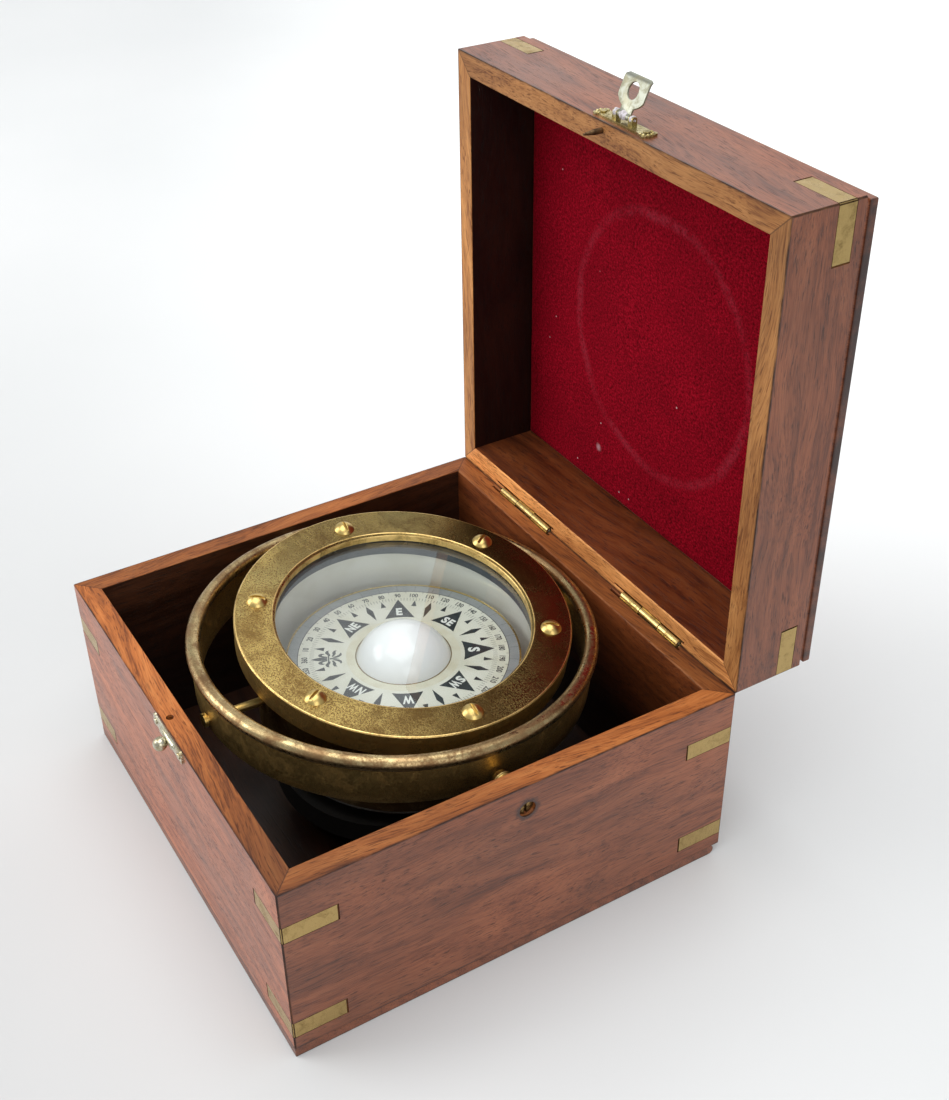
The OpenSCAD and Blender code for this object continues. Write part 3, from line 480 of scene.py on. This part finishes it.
def wall_piece(node, body, axis, out, seed, in_lid):
    """A board of the box or lid: the edges along its rim are rounded over, but not the mitres or the hinged
    side.
    """
    bm = clean_copy(node)
    level = LID_Y if in_lid else RIM_Z
    depth_axis = 1 if in_lid else 2

    def at_rim(p):
        return near(p[depth_axis], level)

    def on_mitre(d):
        flat = [abs(d[k]) for k in range(3) if k != depth_axis]
        return min(flat) > 0.3

    def on_rim(p, d):
        hinged = p.z < LID_LOW + 0.1 * MM if in_lid else p.y > HALF_D - 0.1 * MM
        return at_rim(p) and abs(d[depth_axis]) < 0.1 and not on_mitre(d) and not hinged

    soften(bm, 0.45, on_rim)
    mesh = mesh_from(bm, node + "_wood")
    outward = Vector(out)
    for polygon in mesh.polygons:
        n = polygon.normal
        c = polygon.center
        rim_side = -n.y if in_lid else n.z
        if n.dot(outward) > 0.8:
            polygon.material_index = 0
        elif rim_side > 0.25 and abs(c[depth_axis] - level) < 1.2 * MM:
            polygon.material_index = 1
        elif n.dot(outward) < -0.5:
            polygon.material_index = 2
        else:
            polygon.material_index = 1
    twist = (0.0, 0.0, 6.0 if seed % 2 else -5.0)
    # inside faces take the darkened tones as painted shade, except the rear walls, which take lid_floor
    inside = "lid_floor" if "rear" in node else "lid_inner_painted_shade" if in_lid else "inner"
    w, d = HALF_W / MM, HALF_D / MM
    if in_lid:
        low, high = LID_LOW / MM, LID_TOP / MM
        ends = [(0, -w), (0, w), (2, low), (2, high)]
        mitre = [(0, 0.0, w), (2, (low + high) / 2, (high - low) / 2)]
        rim_tone, shut = "lid_rim", LID_Y / MM
    else:
        ends = [(0, -w), (0, w), (1, -d), (1, d)]
        mitre = [(0, 0.0, w), (1, 0.0, d)]
        rim_tone, shut = "rim", RIM_Z / MM
    own = max(range(3), key=lambda k: abs(out[k]))
    outer_edges = [e for e in ends if e[0] != own] + [(1 if in_lid else 2, shut)]
    if not in_lid:
        outer_edges.append((2, BASE_TOP / MM))
    stain = (1, PIVOT_Y, 2, PIVOT_Z, THREAD_R) if node in ("left_wall", "right_wall") else None
    # The outer, rim and inner fades paint light and shade onto each board
    obj = new_object(node + "_wood", mesh, body, [
        wood(f"{node}_outer", "outer", axis, seed, twist, outer_edges, None, OUTER_PAINTED_SHADING.get(node), stain),
        wood(f"{node}_rim", rim_tone, axis, seed + 0.5, twist, ends, mitre, RIM_PAINTED_SHADING.get(node)),
        wood(f"{node}_inner", inside, axis, seed + 0.25, twist, fade=INNER_PAINTED_SHADING.get(node))],
        30, (node,))
    weighted = obj.modifiers.new("weighted", "WEIGHTED_NORMAL")
    weighted.keep_sharp = True


BOX_WALLS = [("front_wall", "x", (0, -1, 0)), ("rear_wall", "x", (0, 1, 0)),
             ("left_wall", "y", (-1, 0, 0)), ("right_wall", "y", (1, 0, 0))]
LID_WALLS = [("lid_front_wall", "x", (0, 0, 1)), ("lid_rear_wall", "x", (0, 0, -1)),
             ("lid_left_wall", "z", (-1, 0, 0)), ("lid_right_wall", "z", (1, 0, 0))]
for seed, (node, axis, out) in enumerate(BOX_WALLS, 1):
    wall_piece(node, "box", axis, out, seed, False)
for seed, (node, axis, out) in enumerate(LID_WALLS, 11):
    wall_piece(node, "lid", axis, out, seed, True)


def board_piece(node, body, axis, seed, tone, width, hidden=None):
    """The bottom board or the lid's top board; hidden: the side that lies in the dark of the box, given the
    darkened inner tone as painted shade.
    """
    bm = clean_copy(node)
    soften(bm, width, lambda p, d: True)
    mesh = mesh_from(bm, node + "_wood")
    if hidden is not None:
        for polygon in mesh.polygons:
            polygon.material_index = 1 if polygon.normal.dot(Vector(hidden)) > 0.9 else 0
    w, d = HALF_W / MM, HALF_D / MM
    edges = [(2, 0.0)] if body == "box" else [(0, -w), (0, w), (2, LID_LOW / MM), (2, LID_TOP / MM)]
    obj = new_object(node + "_wood", mesh, body, [
        wood(node + "_all", tone, axis, seed, edges=edges),
        wood(node + "_inside", "inner", axis, seed)], 30, (node,))
    weighted = obj.modifiers.new("weighted", "WEIGHTED_NORMAL")
    weighted.keep_sharp = True


board_piece("bottom_board", "box", "x", 21, "outer", 0.3, (0, 0, 1))
board_piece("lid_top_board", "lid", "x", 23, "outer", 0.9)


# ---------------------------------------------------------------- brass fittings
def fitting(node, body, materials, width=0.12, angle=30, pick=None, segments=2, rim=None):
    """A CAD metal piece with its edges broken. pick: the material of a face by its middle and normal;
    rim: the material of the broken edges."""
    bm = clean_copy(node)
    mesh = mesh_from(bm, node + "_metal")
    obj = new_object(node + "_metal", mesh, body, materials, angle, (node,))
    if pick is not None:
        for polygon in mesh.polygons:
            polygon.material_index = pick(polygon.center, polygon.normal)
    if width:
        bevel = obj.modifiers.new("edges", "BEVEL")
        bevel.width = width * MM
        bevel.segments = segments
        bevel.limit_method = "ANGLE"
        bevel.angle_limit = math.radians(angle)
        bevel.harden_normals = True
        if rim is not None:
            bevel.material = rim


def side_face(centre, normal):
    return 1 if abs(normal.x) > 0.7 else 0


for node, body in (("lower_box_straps", "box"), ("upper_box_straps", "box"), ("lid_straps", "lid")):
    fitting(node, body, [M["strap"], M["strap_side"], M["seam"]], 0.22, 30, side_face, rim=2)
for node, body, key in (("catch_plate", "box", "nickel"), ("catch_nails", "box", "nickel"),
                        ("hasp_plate", "lid", "plate"), ("hasp_nails", "lid", "plate"),
                        ("hasp_tongue", "hasp", "tongue")):
    fitting(node, body, [M[key]], 0.12)
fitting("catch_knob", "box", [M["nickel"]], 0)
for node, body in (("left_hinge_box_leaf", "box"), ("right_hinge_box_leaf", "box"),
                   ("left_hinge_lid_leaf", "lid"), ("right_hinge_lid_leaf", "lid")):
    fitting(node, body, [M["hinge"]], 0.12)
fitting("locating_pin", "lid", [M["bronze"]], 0)
fitting("gimbal_ring", "ring", [M["ring"], M["band"]], 0.15, 35,
        lambda c, n: 0 if (ON_RING.inverted() @ c).z > 9.3 * MM else 1)
for node in ("front_bowl_pivot", "rear_bowl_pivot"):
    fitting(node, "ring", [M["bright"]], 0.1)
for node, key in (("left_pivot_screw", "sunk"), ("right_pivot_screw", "sunk"), ("pivot_lock_nuts", "pin")):
    fitting(node, "box", [M[key]], 0.1)
# the bezel's broken edges take the lighter side brass: a painted highlight along its edge
fitting("bezel", "bowl", [M["bezel"], M["bezel_side"]], 0.5, 35,
        lambda c, n: 0 if (ON_BOWL.to_3x3().inverted() @ n).z > 0.5 else 1, 3, 1)
fitting("bezel_screws", "bowl", [M["bright"]], 0.1)


def bowl_zone(c, n):
    """The bowl's material: 1 on the rim that shows under the bezel, 2 on the white inside, 0 elsewhere."""
    p = ON_BOWL.inverted() @ c
    radius = math.hypot(p.x, p.y)
    if p.z > 11 * MM and radius > 50 * MM:
        return 1
    return 2 if radius < 49.7 * MM and p.z > -34 * MM else 0


fitting("bowl", "bowl", [M["bowl"], M["bezel_side"], M["white"]], 0.3, 35, bowl_zone)

for node, key in (("gasket", "gasket"), ("glass", "glass"), ("pivot_post", "pin"), ("pivot_needle", "steel"),
                  ("lubber_pin", "black"), ("filler_plug", "pin"), ("ballast_weight", "lead"),
                  ("ballast_screw", "pin"), ("expansion_diaphragm", "pin"), ("compass_card", "card"),
                  ("card_rim", "hoop"), ("float_dome", "dome"), ("jewel_cup", "pin"),
                  ("magnet_bars", "steel"),
                  ("left_hinge_pin", "steel"), ("right_hinge_pin", "steel"), ("box_hinge_nails", "hinge"),
                  ("lid_hinge_nails", "hinge"), ("hasp_hinge_pin", "steel")):
    obj = NODES[node]
    for place in obj.material_slots:
        place.material = M[key]
    if not obj.material_slots:
        obj.data.materials.append(M[key])


# ---------------------------------------------------------------- card print
class Print:
    """Flat shapes printed on the card; north is +X and bearings run clockwise."""

    def __init__(self, height):
        self.bm = bmesh.new()
        self.height = height * MM

    def at(self, bearing, radius, across=0.0):
        """A point at a bearing in degrees; across runs clockwise. In millimetres."""
        a = math.radians(-bearing)
        u = Vector((math.cos(a), math.sin(a), 0.0))
        side = Vector((math.sin(a), -math.cos(a), 0.0))
        return (u * radius + side * across) * MM + Vector((0, 0, self.height))

    def shape(self, points):
        face = self.bm.faces.new([self.bm.verts.new(p) for p in points])
        if face.calc_area() and (face.normal_update() or face.normal.z < 0):
            face.normal_flip()

    def band(self, inner, outer, segments=240):
        rings = [[self.bm.verts.new(self.at(k * 360 / segments, r)) for k in range(segments)]
                 for r in (inner, outer)]
        for k in range(segments):
            n = (k + 1) % segments
            self.bm.faces.new((rings[0][k], rings[1][k], rings[1][n], rings[0][n])).normal_flip()

    def tick(self, bearing, inner, outer, width):
        h = width / 2
        self.shape([self.at(bearing, inner, -h), self.at(bearing, outer, -h),
                    self.at(bearing, outer, h), self.at(bearing, inner, h)])

    def text(self, words, bearing, radius, size, squeeze=1.0, bold=0.0, width=None, across=0.0):
        """Letters with their tops outward, centred on a bearing, fitted to a width if one is given."""
        curve = bpy.data.curves.new("letters", "FONT")
        curve.body = words
        curve.align_x, curve.align_y = "CENTER", "CENTER"
        curve.size = 1.0
        curve.offset = bold
        curve.resolution_u = 3
        holder = bpy.data.objects.new("letters", curve)
        bpy.context.scene.collection.objects.link(holder)
        bpy.context.view_layer.update()
        mesh = bpy.data.meshes.new_from_object(holder.evaluated_get(bpy.context.evaluated_depsgraph_get()))
        bpy.data.objects.remove(holder)
        bpy.data.curves.remove(curve)
        ys = [v.co.y for v in mesh.vertices]
        middle = (min(ys) + max(ys)) / 2
        scale = size / (max(ys) - min(ys))
        xs = [v.co.x for v in mesh.vertices]
        centre = (min(xs) + max(xs)) / 2
        if width is not None:
            squeeze = width / ((max(xs) - min(xs)) * scale)
        local = [((v.co.x - centre) * scale * squeeze + across, (v.co.y - middle) * scale)
                 for v in mesh.vertices]
        verts = [self.bm.verts.new(self.at(bearing, radius + y, x)) for x, y in local]
        for polygon in mesh.polygons:
            self.bm.faces.new([verts[i] for i in polygon.vertices])
        bpy.data.meshes.remove(mesh)

    def done(self, name, slot, material):
        bmesh.ops.recalc_face_normals(self.bm, faces=self.bm.faces)
        for face in self.bm.faces:
            if face.normal.z < 0:
                face.normal_flip()
        self.bm.transform(ON_CARD)
        new_object(name, mesh_from(self.bm, name), "card", [material])


POINTS = ("", "NE", "E", "SE", "S", "SW", "W", "NW")
GLYPH_WIDTH = {"N": 2.9, "E": 2.35, "S": 2.6, "W": 4.0}
ink, grey, white, cream, amber = Print(0.03), Print(0.02), Print(0.05), Print(0.015), Print(0.04)
smoke = Print(0.035)


def rose_triangle(bearing):
    base = [ink.at(bearing + 3.6 * k, 22.0) for k in range(4, -5, -1)]
    ink.shape([ink.at(bearing, 33.0)] + base)


def rose_word(word, bearing):
    """Heavy white letters, set one by one so that each has its own width."""
    single = len(word) == 1
    widths = [GLYPH_WIDTH[c] * (1.0 if single else 0.88) for c in word]
    gap = 0.38
    left = -(sum(widths) + gap * (len(word) - 1)) / 2
    for letter, width in zip(word, widths):
        white.text(letter, bearing, 25.4 if single else 24.9, 4.4 if single else 3.9, bold=0.045,
                   width=width, across=left + width / 2)
        left += width + gap


def lily(printer, side):
    """Half of a plain fleur-de-lis: petals, leaves and feet, drawn as (across, radius)."""
    petal = [(0.55, 27.3), (0.80, 28.8), (1.30, 30.0), (2.10, 30.6), (2.90, 30.1), (3.20, 29.1), (2.80, 28.1),
             (2.55, 28.9), (2.15, 29.2), (1.75, 28.9), (1.45, 28.2), (1.25, 27.3)]
    leaf = [(1.50, 26.9), (2.40, 27.4), (3.40, 28.1), (4.50, 27.6), (4.80, 26.5), (4.10, 26.9), (3.30, 26.7),
            (2.50, 26.3), (1.60, 26.2)]
    low_leaf = [(1.20, 25.8), (2.30, 25.3), (3.30, 25.5), (4.40, 24.9), (4.70, 23.8), (3.80, 24.3),
                (2.80, 24.2), (1.90, 24.6), (1.10, 25.2)]
    foot = [(0.55, 25.6), (0.95, 25.0), (1.40, 23.9), (2.20, 22.9), (3.20, 22.6), (2.60, 22.1), (1.60, 22.2),
            (0.80, 23.0), (0.40, 24.2)]
    for outline in (petal, leaf, low_leaf, foot):
        printer.shape([printer.at(0, r, side * u) for u, r in outline])


rose_lily = [(0.0, 33.4), (0.35, 32.3), (0.80, 31.1), (0.95, 30.0), (0.80, 28.8), (0.40, 27.3)]
grey.band(38.1, 41.6)
ink.band(37.85, 38.1)
cream.band(17.3, 20.6)
amber.band(16.9, 17.35)
for k in range(36):
    ink.tick(10 * k, 38.1, 41.5, 0.10)
    ink.tick(10 * k + 5, 36.9, 37.9, 0.16)
    ink.text(str(10 * k if k else 360), 10 * k, 35.5, 2.3, bold=0.024, squeeze=0.76)
for k in range(180):
    if (2 * k) % 45 > 1 and (2 * k) % 45 < 44:
        ink.tick(2 * k, 32.2, 33.8, 0.13)
for k in range(8):
    if k:
        rose_triangle(45 * k)
        rose_word(POINTS[k], 45 * k)
    b = 45 * k + 22.5
    ink.shape([ink.at(b, 32.2), ink.at(b, 28.3, 1.2), ink.at(b, 22.5), ink.at(b, 28.3, -1.2)])
for k in range(16):
    b = 22.5 * k + 11.25
    ink.shape([ink.at(b, 32.5), ink.at(b, 28.9, 1.0), ink.at(b, 28.9, -1.0)])
smoke.shape([ink.at(0, r, u) for u, r in rose_lily] + [ink.at(0, r, -u) for u, r in rose_lily[:0:-1]])
for side in (1, -1):
    lily(smoke, side)
smoke.shape([ink.at(0, 27.1, -1.7), ink.at(0, 27.1, 1.7), ink.at(0, 26.6, 1.7), ink.at(0, 26.6, -1.7)])
smoke.shape([ink.at(0, 26.4, -0.4), ink.at(0, 26.4, 0.4), ink.at(0, 22.6)])
for printer, name, key in ((cream, "cream", "cream"), (grey, "grey", "grey"), (amber, "amber", "amber"),
                           (ink, "ink", "ink"), (smoke, "smoke", "smoke"), (white, "white", "letter")):
    printer.done("card_print_" + name, "ivory", M[key])


# ---------------------------------------------------------------- hasp and pivot details
def blob(name, body, material, centre, radii, seed, lumps=0.25, detail=3):
    """A lumpy closed grain of matter round a point; radii in millimetres."""
    bm = bmesh.new()
    bmesh.ops.create_icosphere(bm, subdivisions=detail, radius=1.0)
    for v in bm.verts:
        n = noise.noise(v.co * 2.6 + Vector((seed, 0.0, 0.0)))
        n += 0.5 * noise.noise(v.co * 6.0 + Vector((0.0, seed, 0.0)))
        grown = v.co * (1.0 + lumps * n)
        v.co = Vector(centre) + Vector([grown[k] * radii[k] * MM for k in range(3)])
    new_object(name, mesh_from(bm, name), body, [material], 60)


hasp_pin = Vector(JOINTS["hasp_hinge"]["pos_m"])
blob("hasp_crust_tongue", "hasp", M["crust"], hasp_pin, (2.35, 1.45, 1.45), 3.0)
for side, grown in ((-1, 1.30), (1, 1.15)):
    blob(f"hasp_crust_plate_{'left' if side < 0 else 'right'}", "lid", M["crust"],
         hasp_pin + Vector((side * 4.2 * MM, 0, 0)), (1.15, grown, grown), 7.0 + side)


def hasp_petals(side, end):
    """Six raised beads in an arc round one end of the hasp's plate."""
    arc, inset, height = 2.0, 2.6, 0.75
    name = "left" if side < 0 else "right"
    for k in range(6):
        a = math.radians(38 * k - 100)
        at = Vector((end - side * (inset - arc * math.cos(a)) * MM,
                     hasp_pin.y + arc * math.sin(a) * MM, LID_TOP + height * MM))
        blob(f"hasp_petal_{name}_{k + 1}", "lid", M["plate"], at,
             (0.62, 0.62, 0.50), 11.0 + k, 0.12, 2)


hasp_petals(-1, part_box("hasp_plate")[0].x)
hasp_petals(1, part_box("hasp_plate")[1].x)


def seam_line():
    """A thin dark strip in the line where the open lid meets the box, between the hinges: painted shade that
    closes the gap against the light from behind.
    """
    end_gap, leaf_gap, step = 0.6, 0.4, 2
    cuts = [-HALF_W + end_gap * MM]
    for leaf in ("left_hinge_box_leaf", "right_hinge_box_leaf"):
        cuts += [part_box(leaf)[0].x - leaf_gap * MM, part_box(leaf)[1].x + leaf_gap * MM]
    cuts.append(HALF_W - end_gap * MM)
    bm = bmesh.new()
    for left, right in zip(cuts[::2], cuts[1::2]):
        steps = max(2, int((right - left) / (step * MM)))
        rows = []
        for i in range(steps + 1):
            x = left + (right - left) * i / steps
            sag = 0.15 * noise.noise(Vector((x * 300, 0.0, 5.0)))
            section = ((-0.02, -0.10), (0.012, 0.018), (0.28, 0.016), (0.16 + sag * 0.2, -0.5 + sag))
            rows.append([bm.verts.new((x, HALF_D + y * MM, RIM_Z + z * MM)) for y, z in section])
        for a, b in zip(rows, rows[1:]):
            for k in range(4):
                n = (k + 1) % 4
                bm.faces.new((a[k], a[n], b[n], b[k]))
        bm.faces.new(rows[0])
        bm.faces.new(rows[-1])
    bmesh.ops.recalc_face_normals(bm, faces=bm.faces)
    # dark inner tone: painted shade in the seam
    seam_shade = wood("seam_painted_shade", "inner", "x", 31)
    new_object("seam_shade_strip", mesh_from(bm, "seam_shade_strip"), "box", [seam_shade], 30)


seam_line()


def threaded_sleeve(side):
    """Ridges of the pivot screw's thread where it shows inside the box."""
    start, length, pitch, depth = 73.3, 5.5, 1.3, 0.50
    steps, around = 60, 28
    bm = bmesh.new()
    rings = []
    for i in range(steps + 1):
        x = start + length * i / steps
        ring = []
        for k in range(around):
            a = 2 * math.pi * k / around
            phase = (x / pitch - k / around) % 1.0
            ridge = depth * max(0.0, 1.0 - abs(phase - 0.5) * 3.0)
            fade = min(1.0, i / 3, (steps - i) / 3)
            r = THREAD_R + ridge * fade
            y, z = PIVOT_Y + r * math.cos(a), PIVOT_Z + r * math.sin(a)
            ring.append(bm.verts.new((side * x * MM, y * MM, z * MM)))
        rings.append(ring)
    for a, b in zip(rings, rings[1:]):
        for k in range(around):
            n = (k + 1) % around
            bm.faces.new((a[k], a[n], b[n], b[k]))
    bm.faces.new(rings[0])
    bm.faces.new(rings[-1])
    bmesh.ops.recalc_face_normals(bm, faces=bm.faces)
    name = "pivot_thread_" + ("left" if side < 0 else "right")
    new_object(name, mesh_from(bm, name), "box", [M["thread"]], 50)


for side in (-1, 1):
    threaded_sleeve(side)


# ---------------------------------------------------------------- velvet
IMPRINT_X, IMPRINT_Z, IMPRINT_R = 2.0, 157.0, 49.0      # where the bezel has pressed the nap, in mm
SPOT_X, SPOT_Z = -30.7, 100.8                           # a worn spot


def velvet_material():
    """Crimson nap with the bezel's faint ring, one worn spot and a few flecks of lint."""
    material, t = new_material("crimson_velvet")
    at = place_mm(t)
    nap = t.noise(at, (1.1, 1.1, 1.1), 4, 0.75)
    patches = t.noise(at, 0.035, 3, 0.55)
    colour = t.ramp(nap, [(0.34, (0.060, 0.0002, 0.0018)), (0.50, (0.215, 0.0008, 0.0078)),
                          (0.68, (0.390, 0.0048, 0.0200))])
    shade = t.span(patches, 0.3, 0.7, 0.88, 1.08)
    colour = t.shaded(colour, shade)
    parts = t.add("SeparateXYZ", {0: at}).outputs
    radius = t.reach(t.math("SUBTRACT", parts[0], IMPRINT_X), t.math("SUBTRACT", parts[2], IMPRINT_Z))
    wobble = t.math("MULTIPLY", t.math("SUBTRACT", t.noise(at, 0.05, 2, 0.5), 0.5), 4.0)
    off = t.math("ABSOLUTE", t.math("SUBTRACT", t.math("ADD", radius, wobble), IMPRINT_R))
    mark = t.math("MULTIPLY", t.span(off, 3.0, 0.3), t.span(t.noise(at, 0.05, 3, 0.6), 0.30, 0.60, 0.35, 1.0))
    mark = t.math("MULTIPLY", mark, t.span(t.noise(at, 0.6, 2, 0.6), 0.25, 0.60))
    colour = t.mix(t.math("MULTIPLY", mark, 0.18), colour, (0.50, 0.07, 0.11))
    spot = t.reach(t.math("SUBTRACT", parts[0], SPOT_X), t.math("SUBTRACT", parts[2], SPOT_Z))
    spot = t.math("ADD", spot, t.math("MULTIPLY", t.noise(at, 0.7, 2, 0.6), 1.6))
    colour = t.mix(t.math("MULTIPLY", t.span(spot, 2.9, 1.0), 0.55), colour, (0.60, 0.38, 0.42))
    lint = t.add("TexVoronoi", {"Vector": at, "Scale": 0.085}, feature="F1")
    fleck = t.span(lint.outputs["Distance"], 0.042, 0.014)
    colour = t.mix(t.math("MULTIPLY", fleck, 0.75), colour, (0.72, 0.55, 0.56))
    shader = t.add("BsdfPrincipled", {
        "Base Color": colour, "Roughness": 0.92, "Sheen Weight": 0.15, "Sheen Roughness": 0.35,
        "Sheen Tint": (1.0, 0.04, 0.09, 1.0), "Specular IOR Level": 0.05,
        "Normal": t.bump(nap, 0.0005, 0.6)})
    finish_material(t, shader.outputs[0])
    return material


def velvet_sheet():
    """The lining as one fine sheet, a little wavy and tucked in along its edges."""
    low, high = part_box("velvet_lining")
    count, tuck_depth, wave_height = 90, 0.0012, 0.00022
    bm = bmesh.new()
    grid = []
    for i in range(count + 1):
        row = []
        for k in range(count + 1):
            u, v = i / count, k / count
            x, z = low.x + (high.x - low.x) * u, low.z + (high.z - low.z) * v
            rim = min(u, 1 - u, v, 1 - v) * count
            tuck = tuck_depth * max(0.0, 1 - rim / 1.2) ** 2
            wave = wave_height * (1 + noise.noise(Vector((x * 38, z * 38, 3.0))))
            row.append(bm.verts.new((x, low.y + tuck + wave, z)))
        grid.append(row)
    for i in range(count):
        for k in range(count):
            bm.faces.new((grid[i][k], grid[i + 1][k], grid[i + 1][k + 1], grid[i][k + 1]))
    obj = new_object("velvet_sheet", mesh_from(bm, "velvet_sheet"), "lid",
                     [velvet_material()], 60, ("velvet_lining",))


velvet_sheet()


# ---------------------------------------------------------------- floor, light, camera
def floor_and_backdrop():
    """A pale sweep square to the camera, painted lighter away from it and to the right as painted light."""
    bm = bmesh.new()
    bend, radius = 0.9, 0.7
    profile = [(-1.6, 0.0), (-0.4, 0.0), (0.3, 0.0), (bend, 0.0)]
    profile += [(bend + radius * math.sin(math.radians(a)), radius * (1 - math.cos(math.radians(a))))
                for a in range(6, 91, 6)]
    profile += [(1.6, 2.6)]
    turn = turned("Z", 59.4)
    rows = [[bm.verts.new(turn @ Vector((x, y, z))) for x in (-2.2, 2.2)] for y, z in profile]
    for k in range(len(rows) - 1):
        bm.faces.new((rows[k][0], rows[k][1], rows[k + 1][1], rows[k + 1][0]))
    mesh = mesh_from(bm, "floor")
    for polygon in mesh.polygons:
        polygon.use_smooth = True
    obj = bpy.data.objects.new("floor", mesh)
    bpy.context.scene.collection.objects.link(obj)
    material, t = new_material("pale_floor")
    at = place_mm(t)
    soft = t.noise(at, 0.004, 3, 0.5)
    parts = t.add("SeparateXYZ", {0: at}).outputs
    view_sin, view_cos = 0.861, 0.508       # of the camera's azimuth
    depth = t.math("ADD", t.math("MULTIPLY", parts[0], -view_sin), t.math("MULTIPLY", parts[1], view_cos))
    aside = t.math("ADD", t.math("MULTIPLY", parts[0], view_cos), t.math("MULTIPLY", parts[1], view_sin))
    # painted light: the floor's colour raised with distance from the camera and to the right
    painted_floor_light = t.math("MULTIPLY", t.span(depth, -350.0, 900.0, 0.86, 1.42),
                  t.span(aside, -260.0, 160.0, 0.82, 1.17))
    paper = t.noise(at, 0.35, 3, 0.6)
    shader = t.add("BsdfPrincipled", {
        "Base Color": t.shaded(t.ramp(soft, [(0.3, (0.69, 0.70, 0.70)), (0.7, (0.72, 0.725, 0.725))]), painted_floor_light),
        "Roughness": 0.85, "Specular IOR Level": 0.2, "Normal": t.bump(paper, 0.0002, 0.15)})
    finish_material(t, shader.outputs[0])
    mesh.materials.append(material)


floor_and_backdrop()


def area_light(name, place, target, size, power):
    light = bpy.data.lights.new(name, "AREA")
    light.shape = "RECTANGLE"
    light.size, light.size_y = size
    light.energy = power
    obj = bpy.data.objects.new(name, light)
    bpy.context.scene.collection.objects.link(obj)
    aim = (Vector(target) - Vector(place)).to_track_quat("-Z", "Y")
    obj.matrix_world = Matrix.Translation(place) @ aim.to_matrix().to_4x4()


area_light("softbox_above", (0.05, -0.15, 1.35), (0.0, 0.0, 0.0), (1.3, 1.3), 12.75)
area_light("softbox_back", (-1.05, 0.62, 1.7), (-0.95, 0.56, 0.0), (1.5, 1.5), 3.0)
area_light("softbox_left", (-0.75, -1.05, 0.75), (0.0, 0.0, 0.08), (0.9, 0.9), 9.5)
area_light("softbox_right", (1.25, -0.25, 0.60), (0.0, 0.0, 0.08), (0.7, 0.9), 3.75)

world = bpy.data.worlds.new("studio")
world.use_nodes = True
world.node_tree.nodes["Background"].inputs[0].default_value = (0.96, 0.98, 1.0, 1.0)
world.node_tree.nodes["Background"].inputs[1].default_value = 0.465
bpy.context.scene.world = world
bpy.context.scene.view_settings.view_transform = "Standard"


def photo_camera():
    """The camera at the pictured angle, aimed at a point in the box near its rear left corner."""
    azimuth, elevation, roll = (math.radians(v) for v in (59.445, 35.333, -0.811))
    back = Vector((math.sin(azimuth) * math.cos(elevation), -math.cos(azimuth) * math.cos(elevation),
                   math.sin(elevation)))
    distance = 609.9
    target = Vector((-55.18, 68.71, 52.81)) * MM
    place = target + back * distance * MM
    right = Vector((0, 0, 1)).cross(back).normalized()
    up = back.cross(right)
    x = right * math.cos(roll) + up * math.sin(roll)
    y = up * math.cos(roll) - right * math.sin(roll)
    data = bpy.data.cameras.new("camera")
    data.lens = 49.10
    data.sensor_width = 36.0
    data.clip_end = 20.0
    obj = bpy.data.objects.new("camera", data)
    bpy.context.scene.collection.objects.link(obj)
    obj.matrix_world = Matrix((x, y, back)).transposed().to_4x4()
    obj.matrix_world.translation = place
    bpy.context.scene.camera = obj


photo_camera()

bpy.context.view_layer.update()
